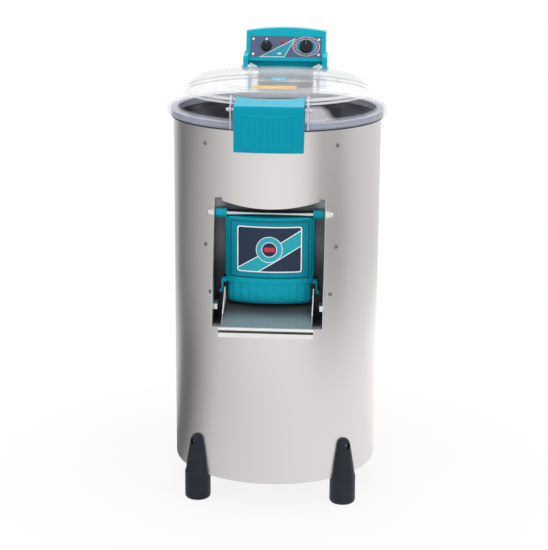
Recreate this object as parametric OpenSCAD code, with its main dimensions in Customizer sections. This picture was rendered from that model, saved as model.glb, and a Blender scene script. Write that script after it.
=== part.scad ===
// Electric potato peeler: a floor-standing steel drum with a spinning abrasive disc, a clear lid
// hinged at the back, a discharge chute with a swinging door, and a control box behind the lid.
// Z is up and the front faces -Y. The origin is on the drum's axis, at the floor.

/* [Drum] */
// Outer radius of the drum
drum_r = 210; // [200:1:220]
// Thickness of the drum's sheet
drum_wall = 1.5; // [1:0.1:2]
// Height of the drum's lower edge above the floor
drum_bottom = 57; // [50:1:65]
// Height from the disc's upper face to the middle of the rolled rim
chamber_h = 387; // [375:1:400]
// Radius of the rolled rim's section
rim_roll_r = 3.5; // [3:0.1:4]
// Thickness of the abrasive lining
liner_t = 2; // [1.5:0.1:2.5]
// Height from the lining's upper edge to the rim
liner_top_gap = 18; // [14:1:24]

/* [Feet] */
// Radius of a foot's round stub
foot_r = 26.5; // [24:0.5:29]
// Height of a foot's tapered part above the drum's lower edge
foot_taper_h = 67; // [55:1:80]
// Radius of a foot's rounded top
foot_top_r = 14.5; // [12:0.5:17]
// Radius of the rounding round a foot's sole
foot_round = 6; // [3:0.5:8]
// Angle of the feet from the front and back
foot_angle = 45; // [40:1:50]

/* [Drive] */
// Height of the base plate's underside above the drum's lower edge
base_lift = 6; // [4:1:10]
// Clear height between the base plate and the pulleys
pulley_gap = 27; // [20:1:35]
// Width of the pulleys
pulley_w = 18; // [16:1:20]
// Outer radius of the driven pulley
driven_r = 72; // [66:1:74]
// Outer radius of the motor's pulley
drive_r = 30; // [26:1:34]
// Clear height between the pulleys and the chassis plate
chassis_gap = 18; // [14:1:24]
// Thickness of the chassis plate
chassis_t = 6; // [5:1:8]
// Half width of the chassis plate
chassis_half_w = 100; // [90:1:110]
// Distance between the spindle and the motor's shaft
centre_dist = 116; // [114:1:120]
// Radius of the motor's frame over its fins
motor_r = 74; // [68:1:76]
// Length of the motor's frame
motor_h = 150; // [135:1:165]
// Length of the fan cover
fan_cover_h = 44; // [40:1:50]
// Clear height between the fan cover and the drain pan
pan_gap = 12; // [8:1:18]
// Radius of the spindle
spindle_r = 12.5; // [11:0.5:14]
// Radius of the motor's shaft
motor_shaft_r = 9.5; // [8:0.5:11]
// Outer radius of the spindle's bearings
bearing_r = 26; // [24:0.5:28]
// Width of a spindle bearing
bearing_w = 15; // [12:1:18]
// Wall of the bearing housing
housing_wall = 9; // [7:0.5:11]
// Running clearance on a radius
run_gap = 0.05; // [0.02:0.01:0.08]

/* [Pan and disc] */
// Rise of the pan's floor from its edge to its collar
pan_rise = 30; // [24:1:34]
// Thickness of the sheet parts inside the drum
sheet_t = 2; // [1.5:0.1:2.5]
// Height from the pan's collar to the disc's underside
disc_gap = 12; // [8:1:14]
// Thickness of the disc
disc_t = 12; // [10:1:14]
// Gap between the disc's edge and the lining
disc_edge_gap = 6.5; // [5:0.5:9]
// Height of the waves on the disc
wave_h = 24; // [18:1:30]
// Half width of a wave
wave_half_w = 38; // [32:1:42]
// Number of waves on the disc
wave_count = 3; // [2:1:4]
// Outer radius of the drain spigot
spigot_r = 22; // [20:1:25]

/* [Chute] */
// Half width over the chute's cheeks
chute_half_w = 109; // [104:1:114]
// Height of the chute
chute_h = 241; // [232:1:250]
// Dip of the middle of the drum's cut-out below its corners
cutout_dip = 15; // [12:1:16]
// How far a cheek's upper front corner stands inside the drum's radius
cheek_top_inset = 15; // [12:1:18]
// How far a cheek's lower front corner stands outside the drum's radius
cheek_foot_reach = 47; // [42:1:52]
// Depth of the chute's back plate behind the drum's front
back_depth = 33; // [33:1:38]
// Half width of the tray over its walls
tray_half_w = 88; // [84:1:90]
// How far the tray's lip stands outside the drum's radius
lip_reach = 81; // [76:1:88]
// Half width of the tray's lip
lip_half_w = 91.5; // [91:0.5:96]
// Height of the tray's lip above the chute's underside
lip_rise = 8; // [6:1:12]
// Height of the lip's face
lip_h = 17; // [14:1:20]
// Radius of the hinge rod
rod_r = 4; // [3:0.5:5]
// Distance of the hinge rod inside the drum's radius
rod_inset = 22; // [21:0.5:23]

/* [Door] */
// Half width of the door's upper part
door_half_w = 88; // [84:1:90]
// Gap between the door's lower part and the tray's walls
door_tray_gap = 4; // [3:0.5:6]
// Thickness of the door's walls
door_wall = 4; // [3:0.5:5]
// Depth of the label's field below the door's frame
door_field_depth = 1.6; // [1:0.1:2]
// Half width of the label
label_half_w = 64; // [58:1:68]
// Height of the label
label_h = 91; // [80:1:96]
// Number of ribs on the door's grip
door_ribs = 15; // [9:2:19]

/* [Lid] */
// Thickness of the lid's clear sheet
lid_t = 4; // [3:0.5:5]
// How far the flange stands outside the drum's radius
flange_over = 11.6; // [11:0.1:14]
// How far the dome's wall stands inside the drum's radius
dome_inset = 10.6; // [9:0.1:12]
// Height of the crown above the flange
crown_rise = 56; // [50:1:58]
// Height of the shoulder's crease above the flange
shoulder_rise = 34; // [30:1:36]
// Drop of the dome's flat middle below its crown
crown_drop = 7; // [4:1:9]
// Half width of the lid's square label
sticker_half_w = 43; // [38:1:48]
// Depth of the lid's square label
sticker_d = 44; // [38:1:46]

/* [Latch] */
// Half width of the latch handle
handle_half_w = 67; // [62:1:69]
// Wall of the latch handle
handle_wall = 3; // [2.5:0.5:4]
// Height of the handle's front face
handle_drop = 87; // [80:1:94]
// Slope of the handle's top face
handle_slope = 18; // [15:1:20]
// Number of ribs on the handle's grip
handle_ribs = 21; // [15:2:25]
// Radius of the latch's pin
latch_pin_r = 3; // [2.5:0.5:3.5]

/* [Controls] */
// Half width of the control box
box_half_w = 86; // [84:1:92]
// Height of the box's upper corners above the lid's hinge
box_rise = 74; // [70:1:80]
// Rise of the hood's middle above its corners
hood_rise = 7; // [5:1:10]
// Depth of the control box behind the lid's hinge
box_back = 60; // [58:1:70]
// Lean of the control panel
panel_tilt = 17; // [14:1:20]
// Half width of the control panel
panel_half_w = 77; // [76:0.5:79]
// Height of the control panel
panel_h = 45; // [43:1:47]
// Distance of the on-off switch left of the middle
switch_x = 42; // [38:1:46]
// Distance of the timer right of the middle
timer_x = 44; // [42:1:46]
// Radius of the switch's knob
switch_knob_r = 11.5; // [10:0.5:13]
// Radius of the timer's knob
timer_knob_r = 14.5; // [13:0.5:16]
// Height of the knobs
knob_h = 13; // [10:1:14]
// Radius of the lid's hinge bolts
hinge_bolt_r = 4; // [3:0.5:4.5]

/* [Hidden] */
$fn = 96;
slip = 0.1;
seat = 0.3;
drum_ri = drum_r - drum_wall;
chamber_r = drum_ri - liner_t;

// The stack from the floor to the rim
base_z = drum_bottom + base_lift;
pulley_z = base_z + sheet_t + pulley_gap;
chassis_z = pulley_z + pulley_w + chassis_gap;
motor_z = chassis_z + chassis_t;
fan_z = motor_z + motor_h;
pan_z = fan_z + fan_cover_h + pan_gap;
collar_z = pan_z + sheet_t + pan_rise;
disc_z = collar_z + disc_gap;
disc_top = disc_z + disc_t;
rim_z = disc_top + chamber_h;
disc_r = chamber_r - disc_edge_gap;

// Feet
foot_places = [foot_angle, -foot_angle, 180 - foot_angle, foot_angle - 180];
foot_axis_r = drum_r + 0.8;
foot_bolt_z = drum_bottom + foot_taper_h;
foot_shoulder_z = drum_bottom + 3;
foot_bolt_r = 3;
foot_bolt_head_r = 5.5;
foot_bolt_seat = 9;

// Spindle and its bearings
housing_r = bearing_r + housing_wall;
collar_h = 6;
housing_top = collar_z + collar_h - 4;
seal_h = 6;
groove_depth = 11;
groove_w = 13;
groove_floor_w = 6;
belt_w = 8;
belt_top = 0.5;
belt_bottom = 7;
rotor_r = 39;
terminal_half_w = 35;
terminal_depth = 30;
terminal_h = 60;
terminal_wall = 3;
rotor_gap = 0.5;
motor_spigot_h = 14;
cover_lap = 6;
housing_flange_r = housing_r + 5;
motor_flange_r = motor_r - 2;
bolt_shank_r = 4;

// The belt's two straight runs leave the pulleys at the wrap angle
wrap_angle = acos((driven_r - drive_r) / centre_dist);
run_length = sqrt(pow(centre_dist, 2) - pow(driven_r - drive_r, 2));

// Drain spigot
spigot_wall = 2;
spigot_neck_r = spigot_r - 0.6;
spigot_lift = 3.5;
spigot_flange_w = 8;
spigot_z = pan_z + sheet_t + spigot_lift + spigot_r;
pan_wall_top = spigot_z + spigot_r + 2;
spigot_x = -100;
spigot_end = drum_r + 81;

// Chute, tray and door
chute_z = disc_top + 3;
chute_top = chute_z + chute_h;
cheek_x = chute_half_w - sheet_t;
back_y = -(drum_r - back_depth);
cheek_top_y = -(drum_r - cheek_top_inset);
cheek_foot_y = -(drum_r + cheek_foot_reach);
cutout_r = (pow(chute_half_w, 2) + pow(cutout_dip, 2)) / (2 * cutout_dip);
seam_w = 0.05;
course_seams = [chute_z, chute_top - cutout_dip];
rod_y = -(drum_r - rod_inset);
rod_z = chute_top - 28;
rod_washer_r = rod_r * 2;
rod_washer_t = 1.5;
rod_nut_r = rod_r * 1.6;
rod_nut_h = 13;
door_top = chute_top - 34;
door_bottom = chute_z + 35;
field_top_gap = 8;
field_bottom_gap = 13;
label_margins = 20;
grip_top = door_top - field_top_gap - label_margins - label_h - field_bottom_gap;
door_low_half_w = tray_half_w - sheet_t - door_tray_gap;
door_r = drum_r - 3;
rib_pitch = 2 * (door_low_half_w - 6) / door_ribs;
grip_r = drum_r - 0.5;
door_back_y = back_y - 3;
window_half_w = door_low_half_w - 7;
window_bottom = door_bottom + 4;
window_top = door_top - 10;
label_z = (grip_top + door_top) / 2 + 1.5;
label_t = 0.5;
label_r = door_r - door_field_depth + slip;
frame_w = 12;
boss_r = 8.5;
collar_r = 9.8;
boss_inner = door_half_w - 3.5;
tray_back_z = window_bottom - 8;
lip_y = -(drum_r + lip_reach);
lip_z = chute_z + lip_rise;
wall_rear_y = rod_y - 12;
wall_rear_top = grip_top - 9;
wall_front_y = cheek_foot_y - 5;
wall_front_top = lip_z + 8;
bolt_y = rod_y - 27;
bolt_z = chute_z + 33;

// Screws on the drum, by angle from the front and height, beside the edge of the cut-out
cutout_angle = round(asin(chute_half_w / drum_r));
screw_places = [[cutout_angle + 6.8, rim_z - 38], [cutout_angle + 6.7, chute_z + 144],
    [cutout_angle + 3.5, chute_z + 49]];
screw_shank_r = 2;

// Lid and its seal
lid_gap_h = 12;
seal_half_w = 6;
seal_top = lid_gap_h - lid_t - seat;
skirt_z = rim_z;
flange_z = rim_z + lid_gap_h;
flange_r = drum_r + flange_over;
dome_r = drum_r - dome_inset;
skirt_rear_y = 100;
shoulder_in = 14.4;
crown_in = 48.4;
flat_in = 78.4;
dome_steps = 8;

// The dome's outer line: from the flange to the shoulder's crease, over the crown, to the flat
shoulder_z = flange_z + shoulder_rise;
crown_z = flange_z + crown_rise;
flat_z = crown_z - crown_drop;
shoulder_r = dome_r - shoulder_in;
crown_r = dome_r - crown_in;
flat_r = dome_r - flat_in;
wall_line = curve([dome_r, flange_z], [dome_r - 1.9, flange_z + 25], [shoulder_r, shoulder_z]);
crown_line = curve([shoulder_r, shoulder_z], [dome_r - 27.4, crown_z], [crown_r, crown_z]);
fall_line = curve([crown_r, crown_z], [crown_r - 15, crown_z], [flat_r, flat_z]);
dome_line = concat(wall_line, after_first(crown_line), after_first(fall_line));

// Latch
pin_y = -(drum_r + 10);
pin_z = flange_z + 25;
fold_y = pin_y - 16;
fold_z = pin_z + 8;
handle_foot_y = fold_y - 9;
handle_foot_z = fold_z - handle_drop;
handle_bulge = 6;
handle_bow_r = (pow(handle_half_w, 2) + pow(handle_bulge, 2)) / (2 * handle_bulge);
grip_rib = 1.2;
handle_pitch = 2 * (handle_half_w - 8) / handle_ribs;
swing_r = pin_z - flange_z - 0.4;
swing_line = [for (a = [11, 30, 55, 80]) [pin_y + swing_r * sin(a), pin_z - swing_r * cos(a)]];
keeper_y = -(drum_r + 6);
keeper_rib_r = 2.8;
ear_x = handle_half_w + 5;
ear_t = 3;

// Lid hinge and control box
hinge_y = drum_r + 18;
hinge_z = flange_z + 45;
wing_x = box_half_w - 6;
wing_t = 10;
lug_t = 6;
lug_x = wing_x - 4 - lug_t;
box_front_y = hinge_y + 18;
box_lip_z = hinge_z + 12;
box_floor_z = hinge_z - 12;
recess_y = hinge_y + 34;
box_y = hinge_y + box_back;
cover_t = 3;
box_wall = 3;
box_face_t = 6;
box_top_z = hinge_z + box_rise + hood_rise;
hood_r = (pow(box_half_w, 2) + pow(hood_rise, 2)) / (2 * hood_rise);
panel_t = 2;
panel_sink = 2.5;
panel_z = hinge_z + 41.5;
knob_rise = 1.5;
lamp_x = -7;
lamp_rise = 11.5;
lamp_r = 4;
back_reach = 24;
nut_depth = 20;
inlet_x = 100;
inlet_z = rim_z - 60;
inlet_r = 9;
inlet_bore_r = 6;
thread_r = 10.48;
inlet_end = drum_r + 24;
gland_x = 70;
gland_z = motor_z - 16;
gland_r = 10;
cable_r = 4.5;
earth_x = 105;
stud_r = 3;
duct_half_w = 60;
duct_low = pan_z - 40;
duct_depth = 40;
loom_r = 5;
loom_z = pan_z - 24;

// The loom runs from the terminal box to the grommet, then up the duct into the control box
loom_route = [[centre_dist - 20, motor_r + 10, motor_z + 120],
    [centre_dist - 20, motor_r + 10, loom_z - 40], [centre_dist - 26, motor_r + 20, loom_z - 14],
    [60, drum_r - 76, loom_z - 2], [20, drum_r - 48, loom_z], [0, drum_r - 16, loom_z],
    [0, drum_r + 6, loom_z], [0, drum_r + 18, loom_z + 10], [0, drum_r + 22, loom_z + 40],
    [0, drum_r + 22, rim_z - 90], [0, drum_r + 30, rim_z - 60], [0, box_y - 26, rim_z - 16],
    [0, box_y - 16, rim_z + 16], [0, box_y - 14, box_floor_z + 20]];
loom_sides = 10;

steel = "#c9c7c5";
dark_steel = "#8f9294";
teal = "#0098b4";
rubber = "#2b313c";
clear = "#dfe8ee";
cast = "#7d8286";

// ---------- Helpers ----------

// A ring or a disc
module ring(r_out, r_in, h) {
    difference() {
        cylinder(r = r_out, h = h);
        translate([0, 0, -1]) cylinder(r = r_in, h = h + 2);
    }
}

// A rod along X between two places
module rod_x(x0, x1, y, z, r) {
    translate([x0, y, z]) rotate([0, 90, 0]) cylinder(r = r, h = x1 - x0);
}

// An outline of Y and Z, extruded along X
module slab_x(x0, x1, points) {
    translate([x0, 0, 0]) rotate([90, 0, 90]) linear_extrude(x1 - x0) polygon(points);
}

// The same piece on both sides
module both_sides() {
    children();
    mirror([1, 0, 0]) children();
}

// A place on the drum, at an angle from the front and a height, with Z pointing outwards
module on_drum(angle, z, r = drum_r) {
    rotate([0, 0, angle]) translate([0, -r, z]) rotate([90, 0, 0]) children();
}

// The drum as a solid, for trimming what seats on it
module drum_solid(r = drum_r) {
    translate([0, 0, drum_bottom]) cylinder(r = r, h = rim_z - drum_bottom, $fn = 360);
}

// A hex prism across the flats
module hex(across, h) {
    cylinder(r = across / sqrt(3), h = h, $fn = 6);
}

// An acorn nut standing on Z = 0
module acorn_nut(r, h) {
    hex(r * 1.75, h * 0.4);
    cylinder(r = r * 0.8, h = h - r * 0.8);
    translate([0, 0, h - r * 0.8]) sphere(r = r * 0.8);
}

// A screw with a domed head, its shank pointing to -Z
module dome_screw(head_r, head_h, shank_r, length) {
    ball_r = (pow(head_r, 2) + pow(head_h, 2)) / (2 * head_h);
    intersection() {
        translate([0, 0, head_h - ball_r]) sphere(r = ball_r);
        cylinder(r = head_r, h = head_h);
    }
    translate([0, 0, -length]) cylinder(r = shank_r, h = length + 0.1);
}

// Points of a curve with one control point
function curve(a, c, b) = [for (i = [0 : dome_steps]) let (t = i / dome_steps)
    pow(1 - t, 2) * a + 2 * t * (1 - t) * c + pow(t, 2) * b];

function after_first(p) = [for (i = [1 : len(p) - 1]) p[i]];

// Points moved sideways from an open line, to its left
function shifted(p, d) = [for (i = [0 : len(p) - 1]) let (
    q = p[min(i + 1, len(p) - 1)] - p[max(i - 1, 0)],
    n = [-q[1], q[0]] / norm(q)) p[i] + d * n];

function reversed(p) = [for (i = [len(p) - 1 : -1 : 0]) p[i]];

// ---------- Drum ----------

module screw_holes(r) {
    for (s = screw_places, side = [-1, 1])
        on_drum(side * s[0], s[1]) translate([0, 0, -8]) cylinder(r = r, h = 12);
}

// The outline of the drum's cut-out for the chute, with its dipping upper edge
module chute_cutout() {
    translate([0, -drum_r + 60, 0]) rotate([90, 0, 0]) linear_extrude(80) difference() {
        translate([-chute_half_w, chute_z]) square([2 * chute_half_w, chute_h]);
        translate([0, chute_top - cutout_dip + cutout_r]) circle(r = cutout_r);
    }
}

module outer_shell() color(steel) difference() {
    union() {
        translate([0, 0, drum_bottom]) ring(drum_r, drum_ri, rim_z - drum_bottom);
        translate([0, 0, rim_z]) rotate_extrude()
            translate([drum_r - 0.5, 0]) circle(r = rim_roll_r);
    }
    chute_cutout();
    rod_nut_room();
    screw_holes(screw_shank_r + slip);
    for (a = foot_places) on_drum(a, foot_bolt_z) translate([0, 0, -8])
        cylinder(r = foot_bolt_r + slip, h = 12);
    back_hole(spigot_x, spigot_z, spigot_neck_r + slip);
    back_hole(inlet_x, inlet_z, inlet_r + slip);
    back_hole(gland_x, gland_z, gland_r + slip);
    back_hole(earth_x, gland_z, stud_r + slip);
    back_hole(0, loom_z, loom_r + 3 + slip);
    // The wall is rolled in three courses that meet at two hairline seams
    for (z = course_seams) translate([0, 0, z - seam_w / 2]) ring(drum_r + 1, drum_ri - 1, seam_w);
}

// A rubber channel pushed over the rolled rim
module lid_seal() color(rubber) rotate_extrude() difference() {
    translate([drum_r - 0.5 - seal_half_w, rim_z - 7]) square([2 * seal_half_w - 0.9, seal_top + 7]);
    translate([drum_r - 0.5, rim_z]) circle(r = rim_roll_r + slip);
    translate([drum_ri - slip, rim_z - 8]) square([drum_wall + 2 * slip, 8]);
}

module base_plate() color(dark_steel) translate([0, 0, base_z]) difference() {
    union() {
        cylinder(r = drum_ri, h = sheet_t);
        ring(drum_ri, drum_ri - sheet_t, 20);
    }
    for (a = [0 : 30 : 330]) rotate([0, 0, a]) translate([150, 0, -1])
        cylinder(r = 12, h = sheet_t + 2);
}

// ---------- Feet ----------

module foot() rotate_extrude() {
    square([foot_r - foot_round, foot_round + 1]);
    translate([foot_r - foot_round, foot_round]) circle(r = foot_round);
    polygon([[0, foot_round], [foot_r, foot_round], [foot_r, foot_shoulder_z],
        [foot_top_r, foot_bolt_z], [0, foot_bolt_z]]);
    intersection() {
        translate([0, foot_bolt_z]) circle(r = foot_top_r);
        translate([0, foot_bolt_z - 1]) square(2 * foot_top_r);
    }
}

module feet() color(rubber) difference() {
    for (a = foot_places) rotate([0, 0, a]) translate([0, -foot_axis_r, 0]) foot();
    drum_solid();
    for (a = foot_places) on_drum(a, foot_bolt_z) {
        cylinder(r = foot_bolt_r + slip, h = 40);
        translate([0, 0, foot_bolt_seat]) cylinder(r = foot_bolt_head_r + 0.5, h = 30);
    }
}

module foot_bolts() color(dark_steel) for (a = foot_places) on_drum(a, foot_bolt_z) {
    translate([0, 0, foot_bolt_seat])
        dome_screw(foot_bolt_head_r, 3, foot_bolt_r, foot_bolt_seat + drum_wall + 5);
    translate([0, 0, -drum_wall - 5.2]) hex(10, 5);
}

// ---------- Drain pan, spigot and lining ----------

module drain_pan() color(steel) difference() {
    union() {
        rotate_extrude() polygon([[housing_r + slip, collar_z - sheet_t], [drum_ri, pan_z],
            [drum_ri, pan_z + sheet_t], [housing_r + slip, collar_z]]);
        translate([0, 0, collar_z - sheet_t])
            ring(housing_r + slip + sheet_t, housing_r + slip, collar_h + sheet_t);
        translate([0, 0, pan_z]) ring(drum_ri, drum_ri - sheet_t, pan_wall_top - pan_z);
    }
    back_hole(spigot_x, spigot_z, spigot_r + slip);
}

// A pipe stub through the pan's wall and the drum, with a collar that follows the drum
module drain_spigot() color(steel) difference() {
    union() {
        at_back(spigot_x, spigot_z) {
            translate([0, 0, -back_reach]) cylinder(r = spigot_neck_r, h = back_reach + 10);
            translate([0, 0, 9]) cylinder(r = spigot_r, h = spigot_end - back_surface(spigot_x) - 9);
        }
        difference() {
            at_back(spigot_x, spigot_z) translate([0, 0, -back_reach])
                cylinder(r = spigot_r + spigot_flange_w, h = back_reach + spigot_r - 3);
            drum_solid();
        }
    }
    drum_solid(drum_ri - sheet_t - 2);
    at_back(spigot_x, spigot_z) translate([0, 0, -2 * back_reach])
        cylinder(r = spigot_r - spigot_wall, h = 300);
}

// The lining covers the drum's wall except where the chute stands
module abrasive_liner() color("#6b6a68") difference() {
    translate([0, 0, pan_wall_top + 1])
        ring(drum_ri, chamber_r, rim_z - liner_top_gap - pan_wall_top - 1);
    translate([-chute_half_w - slip, -drum_r - 10, chute_z - slip])
        cube([2 * (chute_half_w + slip), 100, chute_h + sheet_t + 2 * slip + 3]);
    rod_nut_room();
    screw_holes(screw_shank_r + slip);
    back_hole(inlet_x, inlet_z, inlet_r + slip);
}

// ---------- Drive ----------

module chassis_plate() color(dark_steel) difference() {
    intersection() {
        translate([0, 0, chassis_z]) cylinder(r = drum_ri, h = chassis_t);
        translate([-drum_r, -chassis_half_w, chassis_z])
            cube([2 * drum_r, 2 * chassis_half_w, chassis_t]);
    }
    translate([0, 0, chassis_z - 1]) cylinder(r = spindle_r + 8, h = chassis_t + 2);
    translate([centre_dist, 0, chassis_z - 1]) cylinder(r = motor_shaft_r + 8, h = chassis_t + 2);
    drive_bolt_places() translate([0, 0, -40]) cylinder(r = bolt_shank_r + slip, h = 80);
}

// Bolts of the bearing housing's flange and the motor's flange
module drive_bolt_places() {
    for (a = [45 : 90 : 315]) translate([0, 0, motor_z]) rotate([0, 0, a])
        translate([housing_r - 2, 0, 0]) children();
    for (a = [45 : 90 : 315]) translate([centre_dist, 0, motor_z]) rotate([0, 0, a])
        translate([motor_flange_r - 12, 0, 0]) children();
}

module drive_bolts() color("#a9adb0") drive_bolt_places() {
    translate([0, 0, -chassis_t - 5.5]) hex(13, 5.5);
    translate([0, 0, -chassis_t - 0.1]) cylinder(r = bolt_shank_r, h = chassis_t + 8);
}

module bearing_housing() color(cast) difference() {
    union() {
        translate([0, 0, motor_z]) cylinder(r = housing_r, h = housing_top - motor_z);
        translate([0, 0, motor_z]) cylinder(r = housing_flange_r, h = 10);
    }
    translate([0, 0, motor_z - 1]) cylinder(r = spindle_r + 6, h = 600);
    translate([0, 0, motor_z - 1]) cylinder(r = bearing_r, h = bearing_w + 6);
    translate([0, 0, housing_top - seal_h - bearing_w]) cylinder(r = bearing_r, h = 600);
    drive_bolt_places() translate([0, 0, -1]) cylinder(r = bolt_shank_r + slip, h = 9.1);
}

module spindle_bearing() {
    ring(bearing_r - 0.02, bearing_r - 5, bearing_w);
    ring(spindle_r + 5, spindle_r + run_gap, bearing_w);
    translate([0, 0, 2]) ring(bearing_r - 4.9, spindle_r + 4.9, bearing_w - 4);
}

module spindle_bearings() color("#b9bdc0") {
    translate([0, 0, motor_z + 5]) spindle_bearing();
    translate([0, 0, housing_top - seal_h - bearing_w]) spindle_bearing();
}

module shaft_seal() color(rubber) translate([0, 0, housing_top - seal_h])
    ring(bearing_r - 0.02, spindle_r + run_gap, seal_h);

module motor_flange() color(cast) translate([centre_dist, 0, motor_z]) difference() {
    union() {
        cylinder(r = motor_flange_r, h = 10);
        cylinder(r = motor_r - 9, h = motor_spigot_h);
    }
    translate([0, 0, -1]) cylinder(r = motor_shaft_r + run_gap, h = 20);
    translate([-centre_dist, 0, -motor_z]) drive_bolt_places() translate([0, 0, -1])
        cylinder(r = bolt_shank_r + slip, h = 9.1);
}

module motor_body() color("#5e6a74") translate([centre_dist, 0, motor_z + motor_spigot_h]) difference() {
    union() {
        cylinder(r = motor_r - 7, h = motor_h - motor_spigot_h);
        translate([0, 0, motor_h - motor_spigot_h - cover_lap])
            cylinder(r = motor_r - 5 - slip, h = cover_lap);
        for (a = [0 : 15 : 345]) rotate([0, 0, a]) translate([motor_r - 9, -1.2, 4])
            cube([9, 2.4, motor_h - motor_spigot_h - cover_lap - 6]);
    }
    translate([0, 0, -1]) cylinder(r = rotor_r + rotor_gap, h = motor_h - 24);
    translate([0, 0, -1]) cylinder(r = motor_shaft_r + run_gap, h = motor_h + 2);
}

module fan_cover() color("#4d565e") translate([centre_dist, 0, fan_z]) difference() {
    translate([0, 0, -cover_lap]) cylinder(r = motor_r - 3, h = fan_cover_h + cover_lap);
    translate([0, 0, -cover_lap - 1])
        cylinder(r = motor_r - 5, h = fan_cover_h + cover_lap - sheet_t + 1);
    for (a = [0 : 45 : 315]) rotate([0, 0, a]) for (r = [22, 38, 54])
        translate([r, 0, 0]) cylinder(r = 5, h = fan_cover_h + 1);
}

module terminal_box() color("#4d565e") translate([centre_dist, 0, motor_z + 60]) difference() {
    translate([-terminal_half_w, motor_r - 12, 0])
        cube([2 * terminal_half_w, terminal_depth + 12, terminal_h]);
    translate([-terminal_half_w + terminal_wall, motor_r - 2, terminal_wall])
        cube([2 * (terminal_half_w - terminal_wall), terminal_depth - terminal_wall + 2,
            terminal_h - 2 * terminal_wall]);
    translate([0, 0, -motor_z]) cylinder(r = motor_r, h = 600);
}

// A stretch of the belt round a pulley
module belt_arc(r, from, sweep) rotate([0, 0, from]) rotate_extrude(angle = sweep)
    translate([r - belt_bottom, 0]) square([belt_bottom - belt_top, belt_w]);

module v_belt() color("#26282b") translate([0, 0, pulley_z + (pulley_w - belt_w) / 2]) {
    belt_arc(driven_r, wrap_angle, 360 - 2 * wrap_angle);
    translate([centre_dist, 0, 0]) belt_arc(drive_r, -wrap_angle, 2 * wrap_angle);
    for (side = [0, 1]) mirror([0, side, 0]) rotate([0, 0, wrap_angle])
        translate([driven_r - belt_bottom, -run_length - 0.2, 0])
            cube([belt_bottom - belt_top, run_length + 0.4, belt_w]);
}

// A pulley with one groove, standing on Z = 0
module pulley(r, bore) {
    mid = pulley_w / 2;
    rotate_extrude() polygon([[bore, 0], [r, 0], [r, mid - groove_w / 2],
        [r - groove_depth, mid - groove_floor_w / 2], [r - groove_depth, mid + groove_floor_w / 2],
        [r, mid + groove_w / 2], [r, pulley_w], [bore, pulley_w]]);
}

module driven_pulley() color(cast) translate([0, 0, pulley_z]) difference() {
    pulley(driven_r, spindle_r);
    for (a = [0 : 60 : 300]) rotate([0, 0, a]) translate([(driven_r + spindle_r) / 2 - 4, 0, -1])
        cylinder(r = 11, h = pulley_w + 2);
}

module motor_pulley() color(cast) translate([centre_dist, 0, pulley_z])
    pulley(drive_r, motor_shaft_r);

module spindle() color("#b4b8bb") {
    translate([0, 0, pulley_z - 6]) cylinder(r = spindle_r, h = disc_top + 4 - pulley_z + 6);
    translate([0, 0, pulley_z - 6 - 4]) hex(2 * spindle_r - 4, 4.1);
}

module motor_rotor() color("#9aa0a4") translate([centre_dist, 0, 0]) {
    translate([0, 0, pulley_z - 4])
        cylinder(r = motor_shaft_r, h = fan_z + fan_cover_h - 12 - pulley_z + 4);
    translate([0, 0, motor_z + 30]) cylinder(r = rotor_r, h = motor_h - 60);
}

module motor_fan() color("#d8d2c0") translate([centre_dist, 0, fan_z + 8]) {
    ring(motor_shaft_r + 6, motor_shaft_r, 22);
    ring(motor_r - 10, motor_shaft_r, 3);
    for (a = [0 : 45 : 315]) rotate([0, 0, a]) translate([motor_shaft_r + 5, -1.5, 0])
        cube([motor_r - motor_shaft_r - 17, 3, 20]);
}

// ---------- Disc ----------

module wave() {
    reach = (disc_r + 6) / 2;
    half_l = reach - 35;
    cross_r = (pow(wave_half_w, 2) + pow(wave_h, 2)) / (2 * wave_h);
    long_r = (pow(half_l, 2) + pow(wave_h, 2)) / (2 * wave_h);
    intersection() {
        translate([0, -10, disc_top + wave_h - cross_r]) rotate([90, 0, 0])
            cylinder(r = cross_r, h = disc_r - 20);
        translate([-100, -reach, disc_top + wave_h - long_r]) rotate([0, 90, 0])
            cylinder(r = long_r, h = 200);
        translate([0, 0, disc_z + 1]) cylinder(r = disc_r - 10, h = wave_h + disc_t);
    }
}

module abrasive_disc() color("#77736d") difference() {
    union() {
        translate([0, 0, disc_z]) cylinder(r = disc_r, h = disc_t);
        translate([0, 0, disc_z - 8]) ring(housing_r + 12, housing_r + 8, 9);
        for (i = [0 : wave_count - 1]) rotate([0, 0, i * 360 / wave_count + 30]) wave();
    }
    translate([0, 0, disc_z - 1]) cylinder(r = spindle_r, h = disc_t + 2);
}

module disc_cap() color(steel) translate([0, 0, disc_top]) difference() {
    union() {
        cylinder(r1 = 30, r2 = 20, h = 14);
        translate([0, 0, 14]) intersection() {
            sphere(r = 20);
            cylinder(r = 20, h = 12);
        }
    }
    translate([0, 0, -1]) cylinder(r = spindle_r, h = 5.05);
}

// ---------- Chute and tray ----------

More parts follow.
